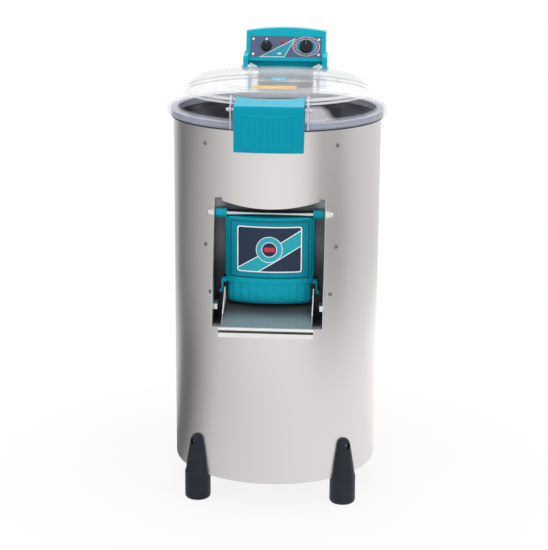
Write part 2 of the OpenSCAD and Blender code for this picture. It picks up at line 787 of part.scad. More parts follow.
module chute_box() color(steel) difference() {
    union() {
        both_sides() slab_x(cheek_x, chute_half_w, [[back_y + sheet_t, chute_z],
            [cheek_foot_y, chute_z], [cheek_top_y, chute_top], [back_y + sheet_t, chute_top]]);
        translate([-cheek_x - 0.1, back_y, chute_z])
            cube([2 * cheek_x + 0.2, sheet_t, chute_h + sheet_t]);
        translate([-cheek_x - 0.1, cheek_foot_y, chute_z])
            cube([2 * cheek_x + 0.2, back_y - cheek_foot_y + 0.1, sheet_t]);
        intersection() {
            translate([-chute_half_w, -drum_r, chute_top])
                cube([2 * chute_half_w, drum_r + back_y + sheet_t, sheet_t]);
            cylinder(r = drum_ri, h = chute_top + 10);
        }
    }
    translate([-window_half_w, back_y - 1, window_bottom])
        cube([2 * window_half_w, sheet_t + 2, window_top - window_bottom]);
    both_sides() rod_x(cheek_x - 5, chute_half_w + 5, rod_y, rod_z, rod_r + slip);
    both_sides() rod_x(cheek_x - 5, chute_half_w + 5, bolt_y, bolt_z, 6 + slip);
}

module discharge_tray() color(steel) {
    wall = [[back_y - 3, chute_z + sheet_t], [cheek_foot_y, chute_z + sheet_t],
        [lip_y + 8, lip_z - 4], [lip_y + 8, lip_z], [wall_front_y, wall_front_top],
        [wall_rear_y, wall_rear_top], [rod_y - 9, wall_rear_top], [back_y - 3, tray_back_z + 3]];
    both_sides() slab_x(tray_half_w - sheet_t, tray_half_w, wall);
    slab_x(-tray_half_w + 0.1, tray_half_w - 0.1, [[back_y, tray_back_z - sheet_t],
        [back_y, tray_back_z], [lip_y + 6, lip_z], [lip_y + 6, lip_z - sheet_t]]);
    rod_x(-lip_half_w, lip_half_w, lip_y + 5, lip_z - 2.5, 3.5);
    slab_x(-lip_half_w, lip_half_w, [[lip_y + 3, lip_z - 4], [lip_y + 3, lip_z - lip_h],
        [lip_y, lip_z - lip_h], [lip_y, lip_z - 7.5], [lip_y + 1.4, lip_z - 7],
        [lip_y + 1.6, lip_z - 4]]);
}

module hinge_rod() color(steel)
    rod_x(-chute_half_w - 6, chute_half_w + 6, rod_y, rod_z, rod_r);

// Room beside the cheeks for the rod's nuts and washers, where a narrow chute brings them near
// the drum's wall
module rod_nut_room() both_sides()
    rod_x(chute_half_w, chute_half_w + rod_washer_t + rod_nut_h, rod_y, rod_z, rod_washer_r + slip);

module rod_nuts() color("#dcdde0") both_sides() difference() {
    translate([chute_half_w, rod_y, rod_z]) rotate([0, 90, 0]) {
        cylinder(r = rod_washer_r, h = rod_washer_t);
        translate([0, 0, rod_washer_t - 0.1]) acorn_nut(rod_nut_r, rod_nut_h);
    }
    rod_x(chute_half_w - 1, chute_half_w + 6.1, rod_y, rod_z, rod_r);
}

module chute_bolts() color("#dcdde0") both_sides() {
    translate([cheek_x, bolt_y, bolt_z]) rotate([0, -90, 0]) hex(19, 8);
    rod_x(cheek_x - 0.1, chute_half_w + 0.4, bolt_y, bolt_z, 6);
}

module shell_screws() color("#dcdde0") for (s = screw_places, side = [-1, 1])
    on_drum(side * s[0], s[1]) dome_screw(4.5, 2.6, screw_shank_r, drum_wall + liner_t);

// ---------- Door ----------

// A block with a curved front between two heights
module door_block(r, half_w, z0, z1, y_back) intersection() {
    translate([0, 0, z0]) cylinder(r = r, h = z1 - z0);
    translate([-half_w, -drum_r - 20, z0]) cube([2 * half_w, drum_r + 20 + y_back, z1 - z0]);
}

module door_solid() {
    door_block(door_r, door_half_w, grip_top + 8, door_top, door_back_y);
    door_block(door_r + 1.5, door_half_w - 2, grip_top, grip_top + 10, door_back_y);
    door_block(grip_r - 1.5, door_low_half_w, door_bottom, grip_top + 1, door_back_y);
    intersection() {
        door_block(grip_r, door_low_half_w - 4, door_bottom + 4, grip_top + 1, door_back_y);
        union() for (i = [0 : door_ribs - 1])
            translate([(i - (door_ribs - 1) / 2) * rib_pitch - rib_pitch * 0.28, -drum_r - 10, 0])
                cube([rib_pitch * 0.56, 60, chute_top]);
    }
}

// The hook beside the tray's wall, with its end curled outwards
module door_hook() {
    z = wall_rear_top + 11;
    leg_x = tray_half_w + 3;
    translate([door_half_w - 3, rod_y - 11, z]) cube([leg_x + 3 - door_half_w + 3, 16, 6]);
    translate([leg_x, rod_y - 11, z - 18]) cube([3, 16, 19]);
    translate([leg_x + 3.5, rod_y - 11, z - 18]) rotate([-90, 0, 0]) cylinder(r = 3.5, h = 16);
}

module discharge_door() color(teal) difference() {
    union() {
        door_solid();
        both_sides() rod_x(boss_inner, cheek_x - 0.5, rod_y, rod_z, boss_r);
        both_sides() rod_x(boss_inner, door_half_w, rod_y, rod_z, collar_r);
        both_sides() door_hook();
    }
    // The label's field, sunk into the frame
    difference() {
        door_block(drum_r + 5, door_half_w - frame_w, grip_top + field_bottom_gap,
            door_top - field_top_gap, door_back_y);
        cylinder(r = door_r - door_field_depth, h = 900);
    }
    // The hollow behind the front wall
    door_block(door_r - door_field_depth - door_wall, door_half_w - frame_w - 2, grip_top + 6,
        door_top - door_wall, door_back_y + 1);
    door_block(grip_r - 1.5 - door_wall, door_low_half_w - door_wall, door_bottom + door_wall,
        grip_top + 7, door_back_y + 1);
    both_sides() rod_x(boss_inner - 5, chute_half_w, rod_y, rod_z, rod_r + run_gap);
}

// The steel plate that closes the back of the door's hollow
module door_back() color(dark_steel) translate([0, door_back_y, 0]) rotate([90, 0, 0])
    linear_extrude(1.5) union() {
        translate([-door_half_w + frame_w + 2 + slip, grip_top + 6])
            square([2 * (door_half_w - frame_w - 2 - slip), door_top - door_wall - grip_top - 6 - slip]);
        translate([-door_low_half_w + door_wall + slip, door_bottom + door_wall + slip])
            square([2 * (door_low_half_w - door_wall - slip), grip_top + 6.5 - door_bottom - door_wall]);
    }

module door_seal() color(rubber) translate([0, back_y - seat, 0]) rotate([90, 0, 0])
    linear_extrude(-door_back_y + back_y - seat) difference() {
        translate([-door_low_half_w, door_bottom])
            square([2 * door_low_half_w, door_top - door_bottom]);
        translate([-window_half_w, door_bottom + 4])
            square([2 * window_half_w, window_top - door_bottom - 4]);
    }

module door_label() color("#2c3b50") difference() {
    door_block(label_r + label_t, label_half_w, label_z - label_h / 2,
        label_z + label_h / 2, -drum_r / 2);
    translate([0, 0, label_z - label_h / 2 - 1]) cylinder(r = label_r, h = label_h + 2);
}

// ---------- Lid ----------

module lid_envelope() {
    rotate_extrude() polygon(concat([[0, flange_z - lid_t]], [[dome_r, flange_z - lid_t]],
        dome_line, [[0, flat_z]]));
    translate([0, 0, skirt_z]) cylinder(r = flange_r, h = flange_z - skirt_z);
}

module lid_dome() color(clear, 0.35) difference() {
    union() {
        rotate_extrude() polygon(concat(
            [[dome_r - lid_t, flange_z - lid_t], [dome_r, flange_z - lid_t]],
            dome_line, [[0, flat_z], [0, flat_z - lid_t]], reversed(shifted(dome_line, lid_t))));
        translate([0, 0, flange_z - lid_t]) ring(flange_r, dome_r - lid_t, lid_t);
        translate([0, 0, skirt_z]) ring(flange_r, flange_r - lid_t, flange_z - skirt_z);
    }
    // The skirt stops short of the hinge side, so that the lid can tip back over the rim
    translate([-drum_r - 20, skirt_rear_y, skirt_z - 1])
        cube([2 * drum_r + 40, drum_r, flange_z - lid_t - skirt_z + 1]);
}

module latch_ears() color(clear, 0.4) difference() {
    both_sides() slab_x(ear_x, ear_x + ear_t, [[pin_y + 56, flange_z], [pin_y + 50, flange_z + 33],
        [pin_y + 24, pin_z + 25], [pin_y + 8, pin_z + 26], [pin_y - 11, pin_z + 8],
        [pin_y - 13, pin_z - 15], [pin_y - 9, skirt_z], [pin_y + 15, skirt_z]]);
    lid_envelope();
    both_sides() rod_x(ear_x - 1, ear_x + 10, pin_y, pin_z, latch_pin_r + run_gap);
}

module hinge_lugs() color(clear, 0.4) difference() {
    both_sides() {
        slab_x(lug_x, lug_x + lug_t, [[dome_r - 35, flange_z], [hinge_y - 20, flange_z],
            [hinge_y + 9, hinge_z - 2], [hinge_y - 2, hinge_z + 9], [hinge_y - 16, hinge_z + 2],
            [dome_r - 35, flange_z + 22]]);
        rod_x(lug_x, lug_x + lug_t, hinge_y, hinge_z, 9.3);
    }
    lid_envelope();
    both_sides() rod_x(lug_x - 1, wing_x, hinge_y, hinge_z, hinge_bolt_r + run_gap);
}

module latch_pin() color("#dcdde0") {
    rod_x(-ear_x - ear_t - 2, ear_x + ear_t + 2, pin_y, pin_z, latch_pin_r);
    both_sides() difference() {
        translate([ear_x + ear_t, pin_y, pin_z]) rotate([0, 90, 0]) acorn_nut(latch_pin_r * 1.5, 9);
        rod_x(ear_x, ear_x + ear_t + 2, pin_y, pin_z, latch_pin_r);
    }
}

module lid_sticker() color("#f8c45e")
    translate([-sticker_half_w, -flat_r + 8, flat_z])
        cube([2 * sticker_half_w, sticker_d, 0.4]);

module lid_badge() color("#76cbe4") translate([0, 26, flat_z]) cylinder(r = 21, h = 0.4);

// ---------- Latch ----------

// The handle's outer form: a sloping top, a front face and a bowed lower edge
module handle_form(half_w, grow, z_low) intersection() {
    slab_x(-half_w, half_w, [[fold_y - grow, fold_z + grow * tan(handle_slope)],
        [handle_foot_y - grow, z_low], [handle_foot_y + 6, z_low],
        [pin_y + 2, flange_z - 30], each swing_line, [pin_y + 45, fold_z + 10],
        [pin_y + 45, fold_z + (pin_y + 45 - fold_y) * tan(handle_slope)]]);
    translate([0, handle_foot_y + handle_bow_r, z_low]) cylinder(r = handle_bow_r + grow, h = 200);
}

// Upright ribs on the handle's front face
module handle_grip() intersection() {
    handle_form(handle_half_w, grip_rib, handle_foot_z + 3);
    union() for (i = [0 : handle_ribs - 1])
        translate([(i - (handle_ribs - 1) / 2) * handle_pitch - 1.4, fold_y - 20, handle_foot_z + 3])
            cube([2.8, 22, handle_drop - 24]);
}

module latch_handle() color(teal) difference() {
    union() {
        difference() {
            union() {
                handle_form(handle_half_w, 0, handle_foot_z);
                handle_grip();
            }
            translate([0, handle_wall, 0]) handle_form_inner();
        }
        both_sides() rod_x(handle_half_w - 14, handle_half_w, pin_y, pin_z, 7);
    }
    // The top's rear edge follows the dome
    cylinder(r = drum_r - 5, h = 1000);
    rod_x(-handle_half_w - 1, handle_half_w + 1, pin_y, pin_z, latch_pin_r + run_gap);
}

// The hollow of the handle, open below and behind
module handle_form_inner() {
    inner_w = handle_half_w - handle_wall;
    intersection() {
        slab_x(-inner_w, inner_w, [[fold_y, fold_z - handle_wall * 1.2],
            [handle_foot_y, handle_foot_z - 1],
            [pin_y + 60, handle_foot_z - 1],
            [pin_y + 60, fold_z - handle_wall * 1.2 + (pin_y + 60 - fold_y) * tan(handle_slope)]]);
        translate([0, handle_foot_y + handle_bow_r, 0]) cylinder(r = handle_bow_r, h = 1000);
    }
}

// The steel tongue inside the handle, whose toe bears on the keeper
module latch_hook() color(dark_steel) slab_x(-18, 18, [[handle_foot_y + 6.5, handle_foot_z + 16],
    [handle_foot_y + 9, handle_foot_z + 14], [keeper_y - 0.4, handle_foot_z + 14],
    [keeper_y - 0.4, handle_foot_z + 18], [handle_foot_y + 11, handle_foot_z + 18],
    [fold_y + 8, fold_z - 16], [fold_y + handle_wall + 1.2, fold_z - 16]]);

module latch_keeper() color(steel) difference() {
    union() {
        translate([-20, -drum_r - 3, handle_foot_z + 6]) cube([40, 10, 28]);
        rod_x(-18, 18, keeper_y + keeper_rib_r, handle_foot_z + 16, keeper_rib_r);
    }
    drum_solid();
}

// ---------- Control box ----------

// The control panel's own frame: X across, Y up the slope, Z out of the face
module on_panel(x, up, out) {
    face_y = box_front_y + (panel_z - box_lip_z) * tan(panel_tilt);
    translate([0, face_y, panel_z]) rotate([90 - panel_tilt, 0, 0])
        translate([x, up, out - panel_sink]) children();
}

// The box seen from the front: straight sides under an arched hood
module box_outline(inset) intersection() {
    translate([-box_half_w + inset, box_floor_z + inset])
        square([2 * (box_half_w - inset), box_top_z]);
    translate([0, box_top_z - hood_r]) circle(r = hood_r - inset);
}

module box_form(inset, y_end) intersection() {
    translate([0, y_end, 0]) rotate([90, 0, 0]) linear_extrude(y_end - hinge_y) box_outline(inset);
    slab_x(-box_half_w, box_half_w, [
        [box_front_y + (inset > 0 ? box_face_t : 0), box_lip_z + inset],
        [box_front_y + (inset > 0 ? box_face_t : 0) + (box_top_z + 4 - box_lip_z) * tan(panel_tilt),
            box_top_z + 4],
        [box_y, box_top_z + 4], [box_y, box_floor_z + inset],
        [recess_y + inset, box_floor_z + inset], [recess_y + inset, box_lip_z + inset]]);
}

module control_housing() color("#14b0c8") difference() {
    union() {
        box_form(0, box_y);
        both_sides() {
            slab_x(wing_x, wing_x + wing_t, [[hinge_y - 8, hinge_z], [hinge_y - 2, hinge_z + 24],
                [box_front_y + 12, hinge_z + 30], [recess_y + 8, hinge_z + 30],
                [recess_y + 8, box_floor_z], [hinge_y + 8, hinge_z - 6], [hinge_y, hinge_z - 6]]);
            rod_x(wing_x, wing_x + wing_t, hinge_y, hinge_z, 8);
        }
    }
    box_form(box_wall, box_y + 1);
    // The seat of the panel, and the window behind it
    on_panel(-panel_half_w - slip, -panel_h / 2 - slip, 0)
        cube([2 * (panel_half_w + slip), panel_h + 2 * slip, 20]);
    on_panel(-panel_half_w + 4, -panel_h / 2 + 4, -20)
        cube([2 * (panel_half_w - 4), panel_h - 8, 21]);
    both_sides() rod_x(wing_x - 1, wing_x + wing_t + 1, hinge_y, hinge_z, hinge_bolt_r + slip);
    // The wires' way down into the duct
    translate([-duct_half_w + 12, recess_y + 5, box_floor_z - 1])
        cube([2 * duct_half_w - 24, box_y - recess_y - 12, box_wall + 2]);
}

module control_cover() color("#0f8fa6") translate([0, box_y + cover_t, 0]) rotate([90, 0, 0])
    linear_extrude(cover_t) box_outline(0);

module control_panel() color("#5a6385") difference() {
    on_panel(-panel_half_w, -panel_h / 2, 0) cube([2 * panel_half_w, panel_h, panel_t]);
    on_panel(-switch_x, knob_rise, -1) cylinder(r = 5, h = panel_t + 2);
    on_panel(timer_x, knob_rise, -1) cylinder(r = 5, h = panel_t + 2);
    on_panel(lamp_x, lamp_rise, -1) cylinder(r = lamp_r + slip, h = panel_t + 2);
    panel_screw_places() cylinder(r = 1.6, h = 20, center = true);
}

module panel_screw_places() for (x = [-1, 1], up = [-1, 1])
    on_panel(x * (panel_half_w - 6), up * (panel_h / 2 - 6), panel_t) children();

module panel_screws() color("#f2f2f2") {
    panel_screw_places() dome_screw(3, 1.6, 1.5, panel_t + 2);
    for (x = [-1, 1], z = [box_floor_z + 10, box_top_z - hood_rise - 12])
        translate([x * (box_half_w - 9), box_y + cover_t, z]) rotate([-90, 0, 0])
            dome_screw(3.5, 1.8, 1.5, 0);
}

module indicator_lamp() color("#d5453f") on_panel(lamp_x, lamp_rise, 0) {
    translate([0, 0, -12]) cylinder(r = lamp_r, h = 12 + panel_t + 1.5);
    translate([0, 0, panel_t + 1.5]) intersection() {
        sphere(r = lamp_r);
        cylinder(r = lamp_r, h = 3);
    }
}

module control_body(x, half_w, depth) on_panel(x, knob_rise, 0) difference() {
    union() {
        translate([-half_w, -half_w, -depth]) cube([2 * half_w, 2 * half_w, depth]);
        cylinder(r = 4.9, h = panel_t);
    }
    translate([0, 0, -8]) cylinder(r = 3 + run_gap, h = 20);
}

module switch_body() color("#e6e2d8") control_body(-switch_x, 12, 16);

module timer_body() color("#e6e2d8") control_body(timer_x, 14, 16);

// A round knob with a raised grip across it, on a stub that enters the switch behind it
module knob(x, r) on_panel(x, knob_rise, 0) {
    translate([0, 0, -7.5]) cylinder(r = 3, h = 7.5 + panel_t + 2);
    translate([0, 0, panel_t + 0.5]) cylinder(r = r, h = 2.5);
    translate([0, 0, panel_t + 2.9]) cylinder(r1 = r - 1, r2 = r - 2.5, h = knob_h - 6.4);
    translate([0, 0, panel_t + 3]) intersection() {
        translate([-2.2, -r + 1, 0]) cube([4.4, 2 * r - 2, knob_h - 3.5]);
        cylinder(r = r - 1, h = knob_h);
    }
}

module switch_knob() color("#1d1f22") knob(-switch_x, switch_knob_r);

module timer_knob() color("#1d1f22") knob(timer_x, timer_knob_r);

module hinge_bolts() color("#dcdde0") both_sides() {
    rod_x(lug_x - 6, wing_x + wing_t + 1, hinge_y, hinge_z, hinge_bolt_r);
    translate([wing_x + wing_t, hinge_y, hinge_z]) rotate([0, 90, 0]) hex(2 * hinge_bolt_r + 3, 4);
    difference() {
        translate([lug_x - seat, hinge_y, hinge_z]) rotate([0, -90, 0])
            acorn_nut(hinge_bolt_r * 1.5, 11);
        rod_x(lug_x - 6, lug_x, hinge_y, hinge_z, hinge_bolt_r);
    }
    rod_ring(lug_x + lug_t + seat, wing_x, hinge_y, hinge_z, 7);
}

// A spacer round a hinge bolt
module rod_ring(x0, x1, y, z, r) difference() {
    rod_x(x0, x1, y, z, r);
    rod_x(x0 - 1, x1 + 1, y, z, hinge_bolt_r);
}

// ---------- Duct and services at the back ----------

// Height of the drum's back surface above the XZ plane, at a distance from the middle
function back_surface(x) = sqrt(pow(drum_r, 2) - pow(x, 2));

// A place on the drum's back, with Z pointing straight back
module at_back(x, z) translate([x, back_surface(x), z]) rotate([-90, 0, 0]) children();

module back_hole(x, z, r) at_back(x, z) translate([0, 0, -back_reach])
    cylinder(r = r, h = 2 * back_reach);

// A fitting with a saddle that follows the drum outside and a nut that follows it inside
module back_fitting(x, z, r, nut_r, out_h, inner_r) {
    at_back(x, z) translate([0, 0, -nut_depth]) cylinder(r = r, h = nut_depth + out_h);
    difference() {
        at_back(x, z) translate([0, 0, -nut_depth]) cylinder(r = nut_r, h = nut_depth + out_h);
        drum_solid();
    }
    intersection() {
        at_back(x, z) translate([0, 0, -nut_depth]) hex(nut_r * 1.8, nut_depth);
        drum_solid(inner_r);
    }
}

// The duct's outline: low against the drum, then leaning back under the control box
function duct_line(inset) = [[0, duct_low + inset], [0, rim_z - 40 - inset],
    [drum_r + 6 + inset, rim_z - 40 - inset * 0.4],
    [hinge_y + 12 + inset, rim_z - 8], [hinge_y + 12 + inset, box_floor_z - 20],
    [recess_y + 2 + inset, box_floor_z + (inset > 0 ? 1 : 0)],
    [box_y - inset, box_floor_z + (inset > 0 ? 1 : 0)],
    [box_y - inset, rim_z - 20 + inset * 0.4],
    [drum_r + duct_depth - inset, rim_z - 80 + inset * 0.4],
    [drum_r + duct_depth - inset, duct_low + inset]];

module rear_duct() color(steel) difference() {
    slab_x(-duct_half_w, duct_half_w, duct_line(0));
    slab_x(-duct_half_w + sheet_t, duct_half_w - sheet_t, duct_line(sheet_t));
    cylinder(r = drum_r, h = rim_z + 200);
    translate([0, 0, rim_z - 12]) cylinder(r = flange_r + 4, h = 80);
}

module grommet() color(rubber) difference() {
    on_drum(180, loom_z) {
        translate([0, 0, -6]) cylinder(r = loom_r + 3, h = 11);
        translate([0, 0, 1]) cylinder(r = loom_r + 6, h = 4);
        translate([0, 0, -6]) cylinder(r = loom_r + 6, h = 4);
    }
    on_drum(180, loom_z) translate([0, 0, -10]) cylinder(r = loom_r + slip, h = 20);
}

// A tube swept along a list of points
module tube(points, r, sides) {
    n = len(points);
    side_ref = [1, 0.3, 0.1];
    rings = [for (i = [0 : n - 1]) let (
        d = points[min(i + 1, n - 1)] - points[max(i - 1, 0)],
        u = cross(d, side_ref) / norm(cross(d, side_ref)),
        v = cross(d, u) / norm(d))
        for (k = [0 : sides - 1]) points[i] + r * (cos(k * 360 / sides) * u + sin(k * 360 / sides) * v)];
    walls = [for (i = [0 : n - 2], k = [0 : sides - 1]) let (m = (k + 1) % sides)
        [i * sides + k, i * sides + m, (i + 1) * sides + m, (i + 1) * sides + k]];
    start = [for (k = [sides - 1 : -1 : 0]) k];
    end = [for (k = [0 : sides - 1]) (n - 1) * sides + k];
    polyhedron(rings, concat(walls, [start], [end]), convexity = 6);
}

module wiring_loom() color("#3a3d42") tube(loom_route, loom_r, loom_sides);

module water_inlet() color("#c8a95a") difference() {
    union() {
        back_fitting(inlet_x, inlet_z, inlet_r, 14, 9, chamber_r);
        at_back(inlet_x, inlet_z) {
            translate([0, 0, 8.9]) hex(27, 7);
            translate([0, 0, 8.9])
                cylinder(r = thread_r, h = inlet_end - back_surface(inlet_x) - 8.9);
            translate([0, 0, -nut_depth]) sphere(r = inlet_r);
        }
    }
    at_back(inlet_x, inlet_z) {
        translate([0, 0, 2 - nut_depth]) cylinder(r = inlet_bore_r, h = 100);
        // The jet inside the drum points down
        translate([0, 0, -nut_depth]) rotate([-90, 0, 0]) cylinder(r = 3, h = inlet_r + 5);
    }
}

module cable_gland() color("#2a2d31") difference() {
    union() {
        back_fitting(gland_x, gland_z, gland_r, 14, 8, drum_ri);
        at_back(gland_x, gland_z) {
            translate([0, 0, 7.9]) hex(24, 6);
            translate([0, 0, 13.8]) cylinder(r1 = 11.5, r2 = 8.5, h = 12);
        }
    }
    at_back(gland_x, gland_z) translate([0, 0, -30]) cylinder(r = cable_r, h = 80);
}

module earth_terminal() color("#c8a95a") {
    back_fitting(earth_x, gland_z, stud_r, 7, 6, drum_ri);
    at_back(earth_x, gland_z) {
        cylinder(r = stud_r, h = 24);
        translate([0, 0, 6.5]) difference() {
            hex(10, 5);
            translate([0, 0, -1]) cylinder(r = stud_r, h = 8);
        }
    }
}

// ---------- The assembly ----------

outer_shell();
lid_seal();
base_plate();
feet();
foot_bolts();
abrasive_liner();
drain_pan();
drain_spigot();
chassis_plate();
drive_bolts();
bearing_housing();
spindle_bearings();
shaft_seal();
motor_flange();
motor_body();
fan_cover();
terminal_box();
v_belt();
chute_box();
discharge_tray();
hinge_rod();
rod_nuts();
chute_bolts();
shell_screws();
latch_keeper();
rear_duct();
control_housing();
control_cover();
control_panel();
panel_screws();
indicator_lamp();
switch_body();
timer_body();
hinge_bolts();
water_inlet();
cable_gland();
earth_terminal();
grommet();
wiring_loom();
lid_dome();
latch_ears();
hinge_lugs();
latch_pin();
lid_sticker();
lid_badge();
latch_handle();
latch_hook();
discharge_door();
door_back();
door_label();
door_seal();
abrasive_disc();
disc_cap();
spindle();
driven_pulley();
motor_rotor();
motor_pulley();
motor_fan();
switch_knob();
timer_knob();
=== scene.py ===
"""Looks of an electric potato peeler, each piece in the place of its solid."""

import math

import bmesh
import bpy
from mathutils import Matrix, Vector


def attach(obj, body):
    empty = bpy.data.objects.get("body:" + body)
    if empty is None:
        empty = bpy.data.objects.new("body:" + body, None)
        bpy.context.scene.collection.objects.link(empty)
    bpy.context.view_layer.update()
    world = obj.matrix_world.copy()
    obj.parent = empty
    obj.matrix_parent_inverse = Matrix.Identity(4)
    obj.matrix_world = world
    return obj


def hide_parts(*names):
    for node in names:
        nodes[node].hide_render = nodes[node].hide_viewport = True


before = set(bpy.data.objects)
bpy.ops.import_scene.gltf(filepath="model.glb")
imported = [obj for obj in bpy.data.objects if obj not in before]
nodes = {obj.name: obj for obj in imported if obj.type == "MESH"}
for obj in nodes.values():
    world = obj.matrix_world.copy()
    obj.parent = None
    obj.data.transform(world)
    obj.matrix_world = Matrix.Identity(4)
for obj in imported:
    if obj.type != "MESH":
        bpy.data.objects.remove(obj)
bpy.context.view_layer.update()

# ---------- Camera ----------
# A long lens stands to the right of the middle and looks a little down at the drum.

camera_place = Vector((0.2248, -3.2705, 1.3142))
camera_yaw, camera_pitch, camera_roll = map(math.radians, (4.015, 14.96, 0.37))
camera = bpy.data.objects.new("camera", bpy.data.cameras.new("camera"))
camera.data.lens = 106.6
camera.data.clip_start = 0.02
camera.matrix_world = (
    Matrix.Translation(camera_place)
    @ Matrix.Rotation(camera_yaw, 4, "Z")
    @ Matrix.Rotation(math.pi / 2 - camera_pitch, 4, "X")
    @ Matrix.Rotation(camera_roll, 4, "Z")
)
bpy.context.scene.collection.objects.link(camera)
bpy.context.scene.camera = camera
bpy.context.scene.view_settings.view_transform = "Standard"

# ---------- Room ----------
# A pale floor and a white surround. Polished surfaces see a studio that is dark to the left and
# bright to the right, as tall cards would make it. Large soft lamps light the object plainly.


def worked(operation):
    """A method that puts a socket, with any values given, through a Math node."""
    return lambda self, *others: self.math(operation, *others)


class Socket:
    """One output of a node, so that node maths is written as arithmetic."""

    __add__ = __radd__ = worked("ADD")
    __mul__ = __rmul__ = worked("MULTIPLY")
    __sub__ = worked("SUBTRACT")
    __truediv__ = worked("DIVIDE")
    __pow__ = worked("POWER")
    __abs__ = worked("ABSOLUTE")
    __or__ = worked("MAXIMUM")

    def __init__(self, tree, socket):
        self.tree = tree
        self.socket = socket

    def node(self, kind, settings=None, inputs=None, out=0):
        """Adds a node: its settings first, then the values or links of its sockets."""
        made = self.tree.nodes.new(kind)
        for name, value in (settings or {}).items():
            setattr(made, name, value)
        for key, value in (inputs or {}).items():
            if isinstance(value, Socket):
                self.tree.links.new(value.socket, made.inputs[key])
            else:
                made.inputs[key].default_value = value
        return Socket(self.tree, made.outputs[out])

    def math(self, operation, *others):
        sockets = dict(enumerate((self, *others)))
        return self.node("ShaderNodeMath", {"operation": operation}, sockets)

    def __rsub__(self, other):
        return self * -1 + other

    def rise(self, low, high):
        """From 0 at low to 1 at high, smoothly."""
        limits = {"Value": self, "From Min": low, "From Max": high}
        return self.node("ShaderNodeMapRange", {"interpolation_type": "SMOOTHSTEP"}, limits)

    def mix(self, without, with_it):
        """One colour where this mask is 0 and another where it is 1."""
        return self.node(
            "ShaderNodeMix", {"data_type": "RGBA"}, {0: self, 6: without, 7: with_it}, out=2
        )

    def ramp(self, *stops):
        """Shades of grey by this value, each at its place from 0 to 1."""
        greys = self.node("ShaderNodeValToRGB", inputs={0: self})
        ramp = greys.socket.node.color_ramp
        while len(ramp.elements) < len(stops):
            ramp.elements.new(0.5)
        for element, (position, shade) in zip(ramp.elements, stops):
            element.position = position
            element.color = (shade, shade, shade, 1)
        return greys

    def xyz(self):
        parts = self.node("ShaderNodeSeparateXYZ", inputs={0: self}).socket.node
        return [Socket(self.tree, parts.outputs[i]) for i in range(3)]

    def stretched(self, scale):
        return self.node("ShaderNodeMapping", inputs={"Vector": self, "Scale": scale})

    def noise(self, scale, detail=2.0, roughness=0.5):
        inputs = {"Vector": self, "Scale": scale, "Detail": detail, "Roughness": roughness}
        return self.node("ShaderNodeTexNoise", inputs=inputs)

    def grains(self, scale):
        return self.node("ShaderNodeTexVoronoi", inputs={"Vector": self, "Scale": scale})


def reach(x, y):
    return (x * x + y * y).math("SQRT")


def studio(vector):
    """What polished surfaces see, by the direction round the object and the distance from it."""
    x, y, z = vector.xyz()
    turn = x.math("ARCTAN2", y * -1) / (2 * math.pi) + 0.5
    near = turn.ramp(
        (0.0, 1.0), (0.06, 0.95), (0.125, 0.66), (0.170, 0.165), (0.225, 0.155), (0.28, 0.38),
        (0.335, 0.64), (0.414, 0.74), (0.511, 0.81), (0.608, 0.86), (0.717, 0.88), (0.806, 0.90),
        (0.90, 1.1), (0.95, 1.35), (1.0, 0.8),
    )
    far = turn.ramp(
        (0.0, 1.0), (0.045, 0.95), (0.095, 0.60), (0.150, 0.15), (0.235, 0.37), (0.328, 0.59),
        (0.414, 0.84), (0.511, 0.97), (0.590, 0.86), (0.640, 0.42), (0.700, 0.34), (0.750, 0.56),
        (0.806, 0.67), (0.95, 0.80), (1.0, 0.6),
    )
    return reach(x, y).rise(0.9, 2.0).mix(near, far), z


def rays(tree):
    """Masks of what is seen plainly or through glass, and of what is seen mirrored."""
    path = tree.nodes.new("ShaderNodeLightPath").outputs
    plainly, mirrored, through = [
        Socket(tree, path[f"Is {kind} Ray"]) for kind in ("Camera", "Glossy", "Transmission")
    ]
    return plainly | through, mirrored


world = bpy.data.worlds.new("studio")
bpy.context.scene.world = world
world.use_nodes = True
sky = world.node_tree
sky.nodes.clear()
in_view, in_gloss = rays(sky)
around, height = studio(Socket(sky, sky.nodes.new("ShaderNodeTexCoord").outputs["Generated"]))
cards = height.rise(0.2, 0.7).mix(around, (1, 1, 1, 1))
seen = in_view.mix(in_gloss.mix((0.55, 0.55, 0.56, 1), cards), (1, 1, 1, 1))
background = seen.node("ShaderNodeBackground", inputs={"Color": seen})
sky.links.new(background.socket, sky.nodes.new("ShaderNodeOutputWorld").inputs["Surface"])

floor_half = 6.0
floor_mesh = bpy.data.meshes.new("floor")
floor_mesh.from_pydata(
    [(x * floor_half, y * floor_half, 0) for x, y in ((-1, -1), (1, -1), (1, 1), (-1, 1))],
    [], [(0, 1, 2, 3)],
)
floor = bpy.data.objects.new("floor", floor_mesh)
bpy.context.scene.collection.objects.link(floor)
floor_paint = bpy.data.materials.new("floor")
floor_paint.use_nodes = True
tree = floor_paint.node_tree
tree.nodes.clear()
in_view, in_gloss = rays(tree)
place = Socket(tree, tree.nodes.new("ShaderNodeTexCoord").outputs["Object"])
x, y, _ = place.xyz()
lit = place.node("ShaderNodeBsdfDiffuse", inputs={"Color": (0.82, 0.82, 0.82, 1)})
white = place.node("ShaderNodeEmission", inputs={"Color": (1, 1, 1, 1), "Strength": 1.0})
mirrored = place.node("ShaderNodeEmission", inputs={"Color": studio(place)[0]})
glow = in_view * (reach(x, y).rise(0.3, 0.75) * 0.14 + 0.86)
bare = glow.node("ShaderNodeMixShader", inputs={0: glow, 1: lit, 2: white})
surface = bare.node("ShaderNodeMixShader", inputs={0: in_gloss, 1: bare, 2: mirrored})
tree.links.new(surface.socket, tree.nodes.new("ShaderNodeOutputMaterial").inputs["Surface"])
floor_mesh.materials.append(floor_paint)

